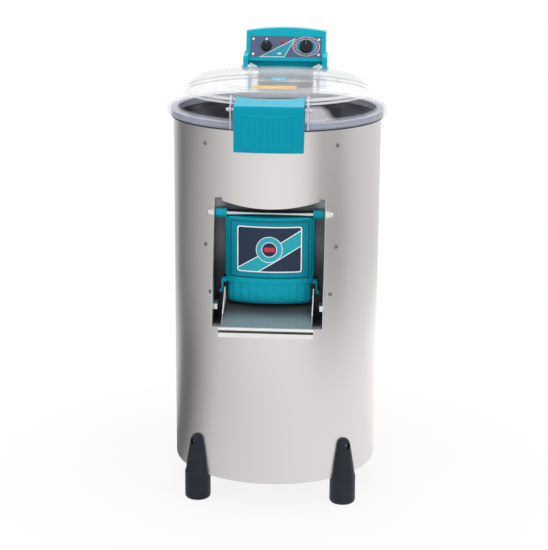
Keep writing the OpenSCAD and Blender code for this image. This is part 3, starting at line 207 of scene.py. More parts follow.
object_middle = Vector((0, 0, 0.45))
for lamp_name, lamp_place, lamp_width, lamp_watts in (
    ("overhead_lamp", (0.3, -0.8, 2.9), 2.4, 34),
    ("front_right_lamp", (2.0, -2.4, 1.7), 1.6, 21),
    ("front_left_lamp", (-2.2, -2.2, 1.5), 1.4, 13),
    ("rear_lamp", (-0.6, 2.8, 1.8), 1.8, 17),
):
    lamp = bpy.data.objects.new(lamp_name, bpy.data.lights.new(lamp_name, "AREA"))
    lamp.data.size = lamp_width
    lamp.data.energy = lamp_watts
    lamp.visible_glossy = False
    lamp.location = lamp_place
    lamp.rotation_euler = (object_middle - lamp.location).to_track_quat("-Z", "Y").to_euler()
    bpy.context.scene.collection.objects.link(lamp)

# ---------- Drum ----------
# The drum is rolled from stainless sheet and polished round its axis, with its upper edge rolled
# outwards over a wire and a dipping cut-out at the front where the chute is welded in.


def finish(name, colour, roughness, **fixed):
    """A new material with one Principled shader, and its Object coordinates."""
    paint = bpy.data.materials.new(name)
    paint.use_nodes = True
    inner = paint.node_tree
    inner.nodes.clear()
    shader = inner.nodes.new("ShaderNodeBsdfPrincipled")
    for key, value in {"Base_Color": colour, "Roughness": roughness, **fixed}.items():
        shader.inputs[key.replace("_", " ")].default_value = value
    end = inner.nodes.new("ShaderNodeOutputMaterial")
    inner.links.new(shader.outputs[0], end.inputs["Surface"])
    return paint, Socket(inner, inner.nodes.new("ShaderNodeTexCoord").outputs["Object"])


def feed(paint, **links):
    """Links what changes over a surface to the material's shader."""
    inner = paint.node_tree
    shader = next(n for n in inner.nodes if n.type == "BSDF_PRINCIPLED")
    for key, value in links.items():
        inner.links.new(value.socket, shader.inputs[key.replace("_", " ")])
    return paint


def bumped(height, distance):
    inputs = {"Height": height, "Distance": distance, "Strength": 1.0}
    return height.node("ShaderNodeBump", inputs=inputs)


def dimmed(colour, share):
    return tuple(min(1, c * share) for c in colour[:3]) + (1.0,)


def brushed(name, colour, grain, roughness=0.25, cover=None):
    """Polished sheet: fine scratches along one way, and faint clouds of handling."""
    paint, place = finish(name, colour, roughness, Metallic=1.0)
    scratches = place.stretched(grain).noise(1.0, 3.0, 0.65)
    clouds = place.noise(5.0)
    shade = (scratches - 0.5) * 0.3 + (clouds - 0.5) * 0.4 + 0.5
    shown = shade.mix(dimmed(colour, 0.93), dimmed(colour, 1.05))
    return feed(
        paint,
        Base_Color=cover(place, shown) if cover else shown,
        Roughness=(scratches - 0.5) * 0.08 + (clouds - 0.5) * 0.05 + roughness,
        Normal=bumped(scratches, 0.000004),
    )


mm = 0.001


def spread(start, end, count):
    return [start + (end - start) * i / count for i in range(count + 1)]


def whole_turn(count):
    return spread(0, 2 * math.pi, count)[:-1]


def ring_of(bm, places):
    return [bm.verts.new([c * mm for c in spot]) for spot in places]


def lathe(bm, line, steps, closed=False):
    """Turns a line of (radius, height) in mm round Z. It may be a function of the angle."""
    rings = []
    poles = {}
    for angle in whole_turn(steps):
        ring = []
        for k, (radius, height) in enumerate(line(angle) if callable(line) else line):
            if radius:
                ring += ring_of(bm, [(radius * math.sin(angle), -radius * math.cos(angle), height)])
            else:
                if k not in poles:
                    poles[k] = ring_of(bm, [(0, 0, height)])[0]
                ring.append(poles[k])
        rings.append(ring)
    count = len(rings[0])
    for i, one in enumerate(rings):
        two = rings[(i + 1) % len(rings)]
        for k in range(count if closed else count - 1):
            m = (k + 1) % count
            corners = list(dict.fromkeys([one[k], two[k], two[m], one[m]]))
            if len(corners) > 2:
                bm.faces.new(corners)
    return bm


def placed(name, mesh):
    piece = bpy.data.objects.new(name, mesh)
    bpy.context.scene.collection.objects.link(piece)
    return piece


def settle(piece):
    """Replaces a piece's mesh by what its modifiers make of it."""
    graph = bpy.context.evaluated_depsgraph_get()
    mesh = bpy.data.meshes.new_from_object(piece.evaluated_get(graph))
    piece.modifiers.clear()
    piece.data = mesh
    return piece


def as_mesh(name, bm):
    bmesh.ops.recalc_face_normals(bm, faces=bm.faces)
    mesh = bpy.data.meshes.new(name)
    bm.to_mesh(mesh)
    bm.free()
    return mesh


def shaped(name, bm):
    return placed(name, as_mesh(name, bm))


def dress(piece, body, slot, paint, *stands_for, smooth=35):
    """Shades a piece, gives it its finish and its body, and hides the nodes that it stands for."""
    piece.data.shade_smooth()
    piece.data.set_sharp_from_angle(angle=math.radians(smooth))
    weights = piece.modifiers.new("weights", "WEIGHTED_NORMAL")
    weights.keep_sharp = True
    settle(piece)
    piece.data.materials.clear()
    piece.data.materials.append(paint)
    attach(piece, body)
    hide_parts(*stands_for)


roll_r = 3.5
drum_r = 210
drum_wall = 1.5
drum_foot_z = 57
rim_z = 783
chute_half_w = 109
chute_z = 399
chute_top = 640
cutout_dip = 15
dip_r = (chute_half_w**2 + cutout_dip**2) / (2 * cutout_dip)


def painted_inner_wall(place, bright):
    """Inside, above its lining, the wall is painted near-black as its shade and dark reflections,
    with lighter noise patches and one pale stretch at the back right painted as reflections.
    """
    x, y, _ = place.xyz()
    inside = 1 - reach(x, y).rise(0.2088, 0.2094)
    reflection_patch = x.rise(0.090, 0.130) * (1 - x.rise(0.172, 0.190)) * y.rise(0.0, 0.020)
    painted_reflections = place.noise(22.0, 4.0) * 0.5 | reflection_patch
    return inside.mix(bright, painted_reflections.mix((0.008, 0.008, 0.012, 1), (0.80, 0.81, 0.84, 1)))


stainless = brushed("stainless_drum", (0.845, 0.812, 0.803, 1), (2.5, 2.5, 1700), cover=painted_inner_wall)
cut_angle = math.asin(chute_half_w / drum_r)
cut_columns = 48
columns = spread(-cut_angle, cut_angle, cut_columns)
columns += spread(cut_angle, 2 * math.pi - cut_angle, 208)[1:-1]
bm = bmesh.new()
strips = []
for i, angle in enumerate(columns):
    x = drum_r * math.sin(angle)
    brow = chute_top
    if i <= cut_columns:
        brow += dip_r - cutout_dip - math.sqrt(dip_r**2 - x**2)
    levels = (drum_foot_z, chute_z, brow, rim_z)
    strips.append(ring_of(bm, [(x, -drum_r * math.cos(angle), z) for z in levels]))
for i, strip in enumerate(strips):
    following = strips[(i + 1) % len(strips)]
    for k in range(3):
        if k != 1 or i >= cut_columns:
            bm.faces.new((strip[k], following[k], following[k + 1], strip[k + 1]))
drum_sheet = shaped("outer_shell_sheet", bm)
sheet = drum_sheet.modifiers.new("sheet", "SOLIDIFY")
sheet.thickness = drum_wall * mm
sheet.offset = -1
settle(drum_sheet)
bm = bmesh.new()
bm.from_mesh(drum_sheet.data)
roll_middle = drum_r - 0.5
lathe(bm, [(roll_middle + roll_r * math.cos(a), rim_z + roll_r * math.sin(a))
           for a in whole_turn(20)], 256, closed=True)
drum_sheet.data = as_mesh("outer_shell_sheet", bm)
dress(drum_sheet, "machine", "stainless", stainless, "outer_shell", smooth=40)

# ---------- Rim seal ----------
# A channel of soft grey silicone is pushed over the rolled rim, so that the lid seats quietly and
# no water runs down the drum. Its lower lips are painted near-black as the shadow under the lid's
# skirt, and fine rings painted pale on it are highlights.


def upward(place):
    """How far a face looks up."""
    return Socket(place.tree, place.socket.node.outputs["Normal"]).xyz()[2]


def textured(name, colour, roughness, pattern, shades, swing, contrast=None, relief=None,
             depth=0, lit=None, **fixed):
    """A finish that one noise shades and roughens. Faces turned up may be painted lighter, to a lit
    colour, as light from above.
    """
    paint, place = finish(name, colour, roughness, **fixed)
    cloud = place.noise(*pattern)
    mask = cloud.rise(*contrast) if contrast else cloud
    shown = mask.mix(*[dimmed(colour, share) for share in shades])
    if lit:
        shown = upward(place).rise(0.55, 0.95).mix(shown, lit)
    feed(paint, Base_Color=shown, Roughness=(cloud - 0.5) * swing + roughness)
    if depth:
        feed(paint, Normal=bumped(place.noise(*relief) if relief else cloud, depth))
    return paint


def wear(paint, *node_names):
    """Gives a finish to pieces that keep the shape of their solids."""
    for node_name in node_names:
        for material_slot in nodes[node_name].material_slots:
            material_slot.link = "OBJECT"
            material_slot.material = paint


def matt_rubber(name, colour, roughness, grain=900, depth=0.00002):
    return textured(
        name, colour, roughness, (14.0, 3.0), (1, 1.35), 0.14, contrast=(0.35, 0.8),
        relief=(grain, 3.0), depth=depth, Specular_IOR_Level=0.22,
    )


black_rubber = matt_rubber("black_rubber", (0.012, 0.0125, 0.014, 1), 0.5)
wear(black_rubber, "door_seal", "shaft_seal", "v_belt", "grommet")
silicone, place = finish("rim_silicone", (0.30, 0.32, 0.37, 1), 0.22, Specular_IOR_Level=0.5)
x, y, z = place.xyz()
# Painted highlights: fine pale rings round the band.
highlight_rings = (reach(x, y) * 1400).math("SINE") * 0.5 + 0.5
smears = place.noise(16.0, 3.0)
pale = (highlight_rings * 0.5 + smears * 0.5).mix((0.16, 0.175, 0.22, 1), (0.50, 0.53, 0.59, 1))
# Painted shadow: the lowest lip is near-black.
feed(silicone, Base_Color=(1 - z.rise(0.7775, 0.7800)).mix(pale, (0.018, 0.020, 0.030, 1)),
     Roughness=smears * 0.2 + 0.15)
wear(silicone, "lid_seal")

# ---------- Feet ----------
# Four bottle-shaped feet are moulded in hard blue-black rubber, each hollowed to the drum and held
# by one domed bolt high up, where its neck lies against the wall.


def rgb(red, green, blue):
    """A colour as it looks, from 0 to 255, made linear."""
    return tuple(
        c / 12.92 if c <= 0.04045 else ((c + 0.055) / 1.055) ** 2.4
        for c in (red / 255, green / 255, blue / 255)
    ) + (1.0,)


def shifted(x, y, z):
    return Matrix.Translation((x * mm, y * mm, z * mm))


def turned(bm, matrix):
    bm.transform(matrix)
    return bm


def removed(*pieces):
    for piece in pieces:
        bpy.data.objects.remove(piece)


def put(name, bm, body, slot, paint, *stands_for, smooth=35):
    dress(shaped(name, bm), body, slot, paint, *stands_for, smooth=smooth)


def merged(bm):
    """Joins the vertices that lie together, so that no face is left without an area."""
    bmesh.ops.remove_doubles(bm, verts=bm.verts, dist=2e-6)
    return bm


def carve(piece, *cutters):
    for cutter in cutters:
        cut = piece.modifiers.new("cut", "BOOLEAN")
        cut.operation = "DIFFERENCE"
        cut.solver = "EXACT"
        cut.object = cutter
    settle(piece)
    bm = bmesh.new()
    bm.from_mesh(piece.data)
    piece.data = as_mesh(piece.name, merged(bm))
    return piece


def outwards(turn, z, r=drum_r):
    """Points a model's Z out of the drum, at a turn round it."""
    return Matrix.Rotation(turn, 4, "Z") @ shifted(0, -r, z) @ Matrix.Rotation(math.pi / 2, 4, "X")


foot_rubber = matt_rubber("foot_rubber", rgb(33, 38, 48), 0.36, grain=500, depth=0.00001)
foot_axis_r = drum_r + 0.8
foot_bolt_z = 124
foot_turns = [math.radians(a) for a in (45, 135, 225, 315)]
foot_bolts_at = [outwards(turn, foot_bolt_z, drum_r + 9) for turn in foot_turns]
foot_line = [
    (0, 0), (19, 0), (21, 0.3), (23.3, 1.3), (25.1, 2.9), (26.2, 5), (26.5, 7), (26.4, 30),
    (26.3, 57), (26.1, 59.4), (25.3, 60.6), (24.4, 64), (22, 82), (18.6, 103), (15.6, 120),
    (14.9, 125), (13.7, 129.5), (11.6, 133.6), (8.6, 136.6), (4.6, 138.2), (0, 138.5),
]
well_line = [(0, 0), (5.6, 0), (6.4, 0.7), (6.4, 40), (0, 40)]
drum_line = [(0, drum_foot_z), (drum_r, drum_foot_z), (drum_r, 200), (0, 200)]
bm = bmesh.new()
drum_cutter = shaped("drum_cutter", lathe(bmesh.new(), drum_line, 256))
for turn, bolt_at in zip(foot_turns, foot_bolts_at):
    foot_at = shifted(foot_axis_r * math.sin(turn), -foot_axis_r * math.cos(turn), 0)
    foot = shaped("foot", turned(lathe(bmesh.new(), foot_line, 56), foot_at))
    bolt_well = shaped("bolt_well", turned(lathe(bmesh.new(), well_line, 24), bolt_at))
    bm.from_mesh(carve(foot, drum_cutter, bolt_well).data)
    removed(foot, bolt_well)
removed(drum_cutter)
put("feet_moulded", bm, "machine", "foot_rubber", foot_rubber, "feet", smooth=28)

# ---------- Screws and bolts on the drum ----------
# Dull plated domed screws hold the chute and the lining, three on each side of the front, and one
# longer bolt of the same kind, plated dark, holds each foot.


def repeated(name, model, places, paint):
    """Copies of one model at many places, by a tree that ends in a plain mesh."""
    model_piece = shaped(name + "_model", model)
    points = bpy.data.meshes.new(name + "_places")
    points.from_pydata([matrix.translation for matrix in places], [], [])
    facing = points.attributes.new("facing", "FLOAT_VECTOR", "POINT")
    for item, matrix in zip(facing.data, places):
        item.vector = matrix.to_euler()
    carrier = placed(name, points)
    group = bpy.data.node_groups.new(name + "_tree", "GeometryNodeTree")
    interface = group.interface
    for label, kind in (
        ("Places", "Geometry"), ("Model", "Object"), ("Size", "Float"), ("Finish", "Material")
    ):
        interface.new_socket(label, in_out="INPUT", socket_type="NodeSocket" + kind)
    interface.new_socket("Copies", in_out="OUTPUT", socket_type="NodeSocketGeometry")
    start, info, facing_now, copies, real, painted, end = [group.nodes.new(kind) for kind in (
        "NodeGroupInput", "GeometryNodeObjectInfo", "GeometryNodeInputNamedAttribute",
        "GeometryNodeInstanceOnPoints", "GeometryNodeRealizeInstances",
        "GeometryNodeSetMaterial", "NodeGroupOutput",
    )]
    facing_now.data_type = "FLOAT_VECTOR"
    facing_now.inputs["Name"].default_value = "facing"
    for source, out, target, into in (
        (start, "Places", copies, "Points"),
        (start, "Model", info, "Object"),
        (info, "Geometry", copies, "Instance"),
        (facing_now, "Attribute", copies, "Rotation"),
        (start, "Size", copies, "Scale"),
        (copies, "Instances", real, "Geometry"),
        (real, "Geometry", painted, "Geometry"),
        (start, "Finish", painted, "Material"),
        (painted, "Geometry", end, "Copies"),
    ):
        group.links.new(source.outputs[out], target.inputs[into])
    copier = carrier.modifiers.new("copies", "NODES")
    copier.node_group = group
    values = {"Model": model_piece, "Size": 1.0, "Finish": paint}
    for item in interface.items_tree:
        if item.item_type == "SOCKET" and item.in_out == "INPUT" and item.name in values:
            copier[item.identifier] = values[item.name]
    settle(carrier)
    removed(model_piece)
    return carrier


def domed_screw(head_r, head_h, socket_r, shank_r, length):
    """A domed head with a hexagon socket, on a plain shank."""
    ball_r = (head_r**2 + head_h**2) / (2 * head_h)
    start = math.asin(socket_r * 1.12 / ball_r)
    end = math.asin(head_r / ball_r)
    line = [(0, head_h - 1.2), (socket_r * 0.98, head_h - 1.2), (socket_r, head_h - 0.12)]
    line += [
        (ball_r * math.sin(a), head_h - ball_r + ball_r * math.cos(a))
        for a in spread(start, end * 0.97, 6)
    ]
    line += [(head_r, 0.15), (head_r * 0.97, 0), (shank_r, 0), (shank_r, -length), (0, -length)]
    return lathe(bmesh.new(), line, 24)


def bright_plate(name, colour, roughness=0.16):
    """Turned and plated steel, a little smeared."""
    return textured(name, colour, roughness, (60.0, 3.0), (0.88, 1.05), 0.16, Metallic=1.0)


chrome = bright_plate("bright_plating", (0.86, 0.87, 0.88, 1))
dull_plate = bright_plate("dull_plating", (0.27, 0.27, 0.28, 1), 0.2)
dark_plate = bright_plate("dark_plating", (0.22, 0.23, 0.26, 1), 0.3)
shell_screws = repeated(
    "shell_screw_heads", domed_screw(4.5, 2.6, 1.8, 2, 3.2),
    [outwards(math.radians(side * degrees), z)
     for degrees, z in ((37.8, 745), (37.7, 543), (34.5, 448)) for side in (-1, 1)], dull_plate,
)
dress(shell_screws, "machine", "hardware", dull_plate, "shell_screws", smooth=40)
foot_bolts = repeated(
    "foot_bolt_heads", domed_screw(5.5, 3, 2.2, 3, 12), foot_bolts_at, dark_plate
)
dress(foot_bolts, "machine", "zinc_steel", dark_plate, "foot_bolts", smooth=40)

# ---------- Base and drive ----------
# Under the disc a pressed base plate and a chassis plate carry the spindle's cast housing and a
# flanged motor with its fan, joined by one belt. They are plated, cast or painted machine parts.


def sand_cast(name, colour, roughness, metallic, depth):
    return textured(name, colour, roughness, (420.0, 4.0, 0.7), (0.75, 1.2), 0.25, depth=depth,
                    Metallic=metallic)


def sprayed(name, colour, roughness=0.4):
    return textured(
        name, colour, roughness, (7.0, 3.0), (1, 1.25), 0.2, contrast=(0.4, 0.75),
        relief=(260.0,), depth=0.00005, Coat_Weight=0.15,
    )


zinc = (0.52, 0.54, 0.56, 1)
zinc_plate, place = finish("zinc_plate", zinc, 0.42, Metallic=0.9)
clouds = place.noise(9.0)
spangle = place.grains(140.0) * 0.5 + clouds * 0.5
feed(zinc_plate, Base_Color=spangle.mix(dimmed(zinc, 0.85), dimmed(zinc, 1.12)),
     Roughness=(clouds - 0.5) * 0.2 + 0.42)
wear(zinc_plate, "base_plate", "chassis_plate", "door_back", "latch_hook")
wear(sand_cast("grey_iron", (0.22, 0.23, 0.24, 1), 0.6, 0.6, 0.00025),
     "bearing_housing", "driven_pulley", "motor_pulley")
wear(sand_cast("die_cast", (0.55, 0.56, 0.57, 1), 0.45, 0.9, 0.00008), "motor_flange")
wear(sprayed("machine_paint", (0.12, 0.16, 0.19, 1)), "motor_body", "fan_cover", "terminal_box")
wear(chrome, "drive_bolts", "spindle_bearings", "spindle", "motor_rotor")
wear(sprayed("cream_plastic", (0.62, 0.58, 0.47, 1), 0.45), "motor_fan", "switch_body",
     "timer_body")

# ---------- Pan and spigot ----------
# A dished stainless pan under the disc leads the waste water to a welded spigot at the back.


def softened(node_name, width):
    """A merged copy of a solid, with its edges broken as a mould or a press leaves them."""
    bm = bmesh.new()
    bm.from_mesh(nodes[node_name].data)
    merged(bm)
    bmesh.ops.dissolve_limit(bm, angle_limit=math.radians(0.4), verts=bm.verts, edges=bm.edges)
    sharp = [e for e in bm.edges if e.is_manifold and e.calc_face_angle() > math.radians(30)]
    bmesh.ops.bevel(
        bm, geom=sharp, offset=width * mm, segments=2, profile=0.5, affect="EDGES",
        clamp_overlap=True,
    )
    return merged(bm)


def soften(node_name, how, width, body, slot, paint, smooth=35):
    put(f"{node_name}_{how}", softened(node_name, width), body, slot, paint, node_name,
        smooth=smooth)


sheet_steel = brushed("stainless_sheet", (0.78, 0.77, 0.76, 1), (500, 500, 40), 0.3)
wear(sheet_steel, "drain_pan")
soften("drain_spigot", "tube", 0.4, "machine", "stainless", sheet_steel)

# ---------- Lining and disc ----------
# The peeling disc has three rounded waves and is coated with coarse grit, as the lining on the
# wall is. Wet grit and its resin are dark, and they shine a little.

grit = (0.10, 0.095, 0.09, 1)
disc_grit, place = finish("grit_on_disc", grit, 0.6, Coat_Weight=0.35, Coat_Roughness=0.3)
grains = place.grains(260.0)
feed(disc_grit, Normal=bumped(grains, 0.0012), Base_Color=(
    grains * 0.6 + place.noise(900.0) * 0.5).mix(dimmed(grit, 0.6), dimmed(grit, 1.9)))
wear(disc_grit, "abrasive_disc")
wall_grit, place = finish(
    "grit_on_wall", (0.012, 0.0125, 0.016, 1), 0.3, Specular_IOR_Level=0.4, Emission_Strength=1.0
)
grains = place.grains(420.0)
# High up at the back, pale stretches are painted reflections, and one white patch is a painted
# highlight that glows by its emission.
x, y, z = place.xyz()
behind = y.rise(0.0, 0.020)
ragged = (place.noise(30.0, 3.0) - 0.5) * 0.012
x, z = x + ragged, z + ragged
reflection_stretches = (1 - x.rise(-0.168, -0.136)) | x.rise(0.116, 0.130)
reflection_stretches = reflection_stretches * (1 - z.rise(0.758, 0.772)) * (z - ragged).rise(0.700, 0.735) * behind * 0.8
glowing_highlight = ((x - 0.068) / 0.044) ** 2 + ((z - 0.738) / 0.027) ** 2
glowing_highlight = (1 - glowing_highlight.rise(0.25, 1.1)) * behind
dark = grains.mix((0.010, 0.013, 0.020, 1), (0.036, 0.041, 0.053, 1))
feed(
    wall_grit,
    Base_Color=glowing_highlight.mix(reflection_stretches.mix(dark, (0.15, 0.165, 0.20, 1)), (0.95, 0.96, 1.0, 1)),
    Emission_Color=glowing_highlight.mix((0, 0, 0, 1), (0.16, 0.165, 0.175, 1)),
    Normal=bumped(grains, 0.00008),
)
wear(wall_grit, "abrasive_liner")
wear(sheet_steel, "disc_cap")

# ---------- Chute and tray ----------
# The chute is folded from stainless sheet and welded into the cut-out. Its tray slopes forward to
# a rolled lip. Edges are only broken, and what lies far inside is painted near-black as shade.

folded, place = finish("stainless_folded", (0.62, 0.64, 0.66, 1), 0.3)
x, y, z = place.xyz()
draw_lines = place.stretched((60, 60, 900)).noise(1.0, 3.0)
from_edge = y + (z * -1 + 0.640) * 0.257 + 0.195
# Painted light: the cheeks' front edges, the corners below the roof and the foot of the folds stay
# lighter, as where light reaches, and the rest inside is painted near-black as shade.
to_front = 1 - from_edge.rise(0.006, 0.036)
low = to_front * (1 - z.rise(0.450, 0.520))
high = z.rise(0.585, 0.625) * abs(x).rise(0.075, 0.105) * 0.7
outside = abs(x).rise(0.1075, 0.1085)
at_foot = (1 - z.rise(0.425, 0.452)) * (1 - from_edge.rise(0.03, 0.09)) * 0.16
far_in = z.rise(0.49, 0.56) * from_edge.rise(0.010, 0.045) * 0.20
painted_far_shade = 1 - (low | high | to_front * 0.30 | outside | at_foot | far_in)
worn = (draw_lines * 0.35 + 0.4).mix((0.36, 0.37, 0.39, 1), (0.56, 0.57, 0.59, 1))
feed(
    folded,
    Base_Color=painted_far_shade.mix(outside.mix(worn, (0.72, 0.72, 0.72, 1)), (0.020, 0.022, 0.027, 1)),
    Metallic=outside * 0.5 + 0.5,
    Roughness=(draw_lines - 0.5) * 0.12 + 0.3,
    Normal=bumped(draw_lines, 0.00001),
)
soften("chute_box", "folded", 0.5, "machine", "stainless", folded)

tray_steel, place = finish("stainless_tray", (0.35, 0.42, 0.45, 1), 0.36, Metallic=0.35)
_, y, z = place.xyz()
front = y * -1
splashes = place.noise(26.0, 5.0, 0.6)
draw_lines = place.stretched((900, 30, 30)).noise(1.0)
tone = (splashes * 0.6 + draw_lines * 0.4).mix((0.22, 0.27, 0.29, 1), (0.36, 0.42, 0.44, 1))
# Painted shade: the back of the tray, under the door, is near-black.
tone = front.rise(0.205, 0.262).mix((0.07, 0.08, 0.09, 1), tone)
bright = (splashes * 0.5 + 0.25).mix((0.78, 0.765, 0.74, 1), (0.90, 0.885, 0.86, 1))
edge = front.rise(0.2815, 0.2825) | (z - (front - 0.2) * -0.23).rise(0.436, 0.437)
# Painted shade: a dark line in the groove under the rolled lip.
groove_shade = front.rise(0.2876, 0.2880) * (1 - abs(z - 0.4012).rise(0.0020, 0.0026))
feed(
    tray_steel,
    Base_Color=groove_shade.mix(edge.mix(tone, bright), (0.05, 0.05, 0.06, 1)),
    Roughness=(splashes - 0.5) * 0.2 + 0.33,
    Normal=bumped(splashes, 0.0001),
)
soften("discharge_tray", "folded", 0.35, "machine", "stainless", tray_steel)

# The door hangs on a ground steel rod, held outside each cheek by a washer and an acorn nut.
rod_y = -188
rod_z = 612
rod_r = 4


def sideways(side=1):
    """Turns a model's Z to the right, or to the left for -1."""
    return Matrix.Rotation(side * math.pi / 2, 4, "Y")


def loft(bm, rings, capped=True):
    """Joins closed rings of places in mm, one after the other, and closes the two ends."""
    rings = [ring_of(bm, ring) for ring in rings]
    for one, two in zip(rings, rings[1:]):
        for i in range(len(one)):
            m = (i + 1) % len(one)
            bm.faces.new((one[i], one[m], two[m], two[i]))
    if capped:
        bm.faces.new(rings[0])
        bm.faces.new(rings[-1])
    return rings


def hexagon(bm, across, low, high, chamfer):
    """A hexagonal prism with a turned chamfer at its top."""
    corner = across / math.sqrt(3)
    return loft(bm, [
        [(corner * share * math.cos(a), corner * share * math.sin(a), z) for a in whole_turn(6)]
        for z, share in ((low, 1.0), (high - chamfer, 1.0), (high, 0.9))
    ])


def acorn_nut(hex_across, hex_h, dome_r, top, washer_r=0, washer_t=0):
    """A closed nut with a round cap, standing on Z = 0, with a washer under it if wanted."""
    model = bmesh.new()
    if washer_r:
        lathe(model, [(0, 0), (washer_r, 0), (washer_r, washer_t * 0.8),
                      (washer_r * 0.96, washer_t), (0, washer_t)], 28)
    hexagon(model, hex_across, washer_t, washer_t + hex_h, 0.7)
    cap_low = washer_t + hex_h - 0.1
    dome = [
        (dome_r * math.cos(a), top - dome_r + dome_r * math.sin(a))
        for a in spread(0, math.pi / 2, 7)[:-1]
    ]
    return lathe(model, [(0, cap_low), (dome_r, cap_low), *dome, (0, top)], 24)


ground_steel = bright_plate("ground_steel", (0.74, 0.73, 0.70, 1), 0.24)
rod_half = chute_half_w + 6
bm = lathe(bmesh.new(), [
    (0, -rod_half), (rod_r * 0.85, -rod_half), (rod_r, -rod_half + 0.6),
    (rod_r, rod_half - 0.6), (rod_r * 0.85, rod_half), (0, rod_half),
], 24)
put("hinge_rod_ground", turned(bm, shifted(0, rod_y, rod_z) @ sideways()),
    "machine", "stainless", ground_steel, "hinge_rod", smooth=50)
rod_nuts = repeated(
    "rod_nut_copies", acorn_nut(11.2, 5.2, 5.1, 14.4, 8, 1.5),
    [shifted(side * chute_half_w, rod_y, rod_z) @ sideways(side) for side in (-1, 1)], chrome,
)
dress(rod_nuts, "machine", "hardware", chrome, "rod_nuts", smooth=30)

# One hexagon bolt on the inside of each cheek holds the tray to the chute.
model = bmesh.new()
hexagon(model, 19, 0, 8, 1.2)
lathe(model, [(0, -2.4), (6, -2.4), (6, 0.1), (0, 0.1)], 20)
chute_bolts = repeated(
    "chute_bolt_copies", model,
    [shifted(side * (chute_half_w - 2), -215, 432) @ sideways(-side) for side in (-1, 1)], chrome,
)
dress(chute_bolts, "machine", "hardware", chrome, "chute_bolts", smooth=30)

# ---------- Discharge door ----------
# The door is one teal moulding that hangs from the rod: a framed field for its label above, a
# proud band, and a narrower grip with upright ribs below. Hooks at its sides catch the tray.


def framed_outline(half_w, low, high, corner):
    """The points of a rounded rectangle, whose lower and upper halves match in their X."""
    corner = min(corner, half_w * 0.99, (high - low) * 0.49)
    arcs = [
        [(side * (half_w - corner + corner * math.cos(a)), corner - corner * math.sin(a))
         for a in spread(0, math.pi / 2, 7)]
        for side in (-1, 1)
    ]
    flat = [(x, 0) for x in spread(-half_w + corner, half_w - corner, 30)[1:-1]]
    half = arcs[0] + flat + arcs[1][::-1]
    return [(x, low + inset) for x, inset in half] + [(x, high - inset) for x, inset in half[::-1]]


def bowed_patch(bm, stages):
    """Lofts rounded rectangles. Each lies on a cylinder round Z, or on a plane if flat."""
    rings = loft(bm, [
        [(x, flat_y or -math.sqrt(radius**2 - x * x), z)
         for x, z in framed_outline(half_w, low, high, corner)]
        for half_w, low, high, corner, radius, flat_y in stages
    ], capped=False)
    count = len(rings[0])
    for ring in (rings[0], rings[-1]):
        for i in range(count // 2 - 1):
            bm.faces.new((ring[i], ring[i + 1], ring[count - 2 - i], ring[count - 1 - i]))


def rounded_stages(half_w, low, high, corner, radius, edge):
    """The stages of a plain bowed block with a round front edge and a flat back."""
    stages = [(half_w, low, high, corner, 0, -181.4), (half_w, low, high, corner, radius - edge, 0)]
    for a in spread(0, math.pi / 2, 4)[1:]:
        inset = edge * (1 - math.cos(a))
        stages.append((half_w - inset, low + inset, high - inset, max(corner - inset, 0.6),
                       radius - edge + edge * math.sin(a), 0))
    return stages


def inside_rounded(x, z, half_w, half_h, corner, soft=0.0003):
    """A mask of a rounded rectangle round 0."""
    over_x = (abs(x) - (half_w - corner)) | 0.0
    over_z = (abs(z) - (half_h - corner)) | 0.0
    return 1 - reach(over_x, over_z).rise(corner - soft, corner + soft)


def inside_oval(x, z, half_w, half_h, soft=0.03):
    return 1 - reach(x / half_w, z / half_h).rise(1 - soft, 1 + soft)


door_teal, place = finish("door_teal", rgb(0, 140, 160), 0.34, Specular_IOR_Level=0.15)
x, _, z = place.xyz()
flow = place.noise(18.0, 3.0)
tone = flow.mix(rgb(0, 154, 174), rgb(4, 164, 186))
# Painted shade: the frame round the label field is a little darker, and darkest in a thin ring
# where its step drops.
for middle, half_w, half_h, corner, soft, colour in (
    (0.544, 0.0832, 0.0588, 0.007, 0.0008, rgb(0, 138, 158)),
    (0.5426, 0.0772, 0.0565, 0.005, 0.0012, rgb(0, 84, 100)),
    (0.5425, 0.0752, 0.0548, 0.004, 0.0008, rgb(0, 142, 162)),
):
    tone = inside_rounded(x, z - middle, half_w, half_h, corner, soft).mix(tone, colour)
# Painted shade: the grip's lower edge and the door's right side are darker.
painted_door_shade = (1 - z.rise(0.434, 0.456)) * 0.55 | x.rise(0.045, 0.088) * 0.45
feed(door_teal, Base_Color=painted_door_shade.mix(tone, rgb(0, 108, 124)),
     Roughness=(flow - 0.5) * 0.12 + 0.34, Normal=bumped(place.noise(1500.0, 1.0), 0.000012))
bm = bmesh.new()
bowed_patch(bm, rounded_stages(88, 482, 606, 9, 207, 3) + [
    (83.4, 485.2, 602.4, 7, 207, 0), (83.0, 485.4, 602.1, 6.8, 205.9, 0),
    (82.2, 485.8, 601.6, 6.4, 205.9, 0), (81.8, 486.0, 601.3, 6.2, 206.7, 0),
    (77.2, 486.9, 598.9, 4.8, 206.7, 0), (76.4, 487.1, 598.1, 4.4, 206.3, 0),
    (76, 487.3, 597.8, 4.2, 205.4, 0),
])
for block in ((86, 474, 484.4, 2.4, 208.5, 1.6), (82, 434, 476, 9, 206.6, 3),
              (78.4, 437.6, 475, 5, 207.8, 1.2)):
    bowed_patch(bm, rounded_stages(*block))


def join(bm, model, matrix):
    bm.from_mesh(as_mesh("part", turned(model, matrix)))


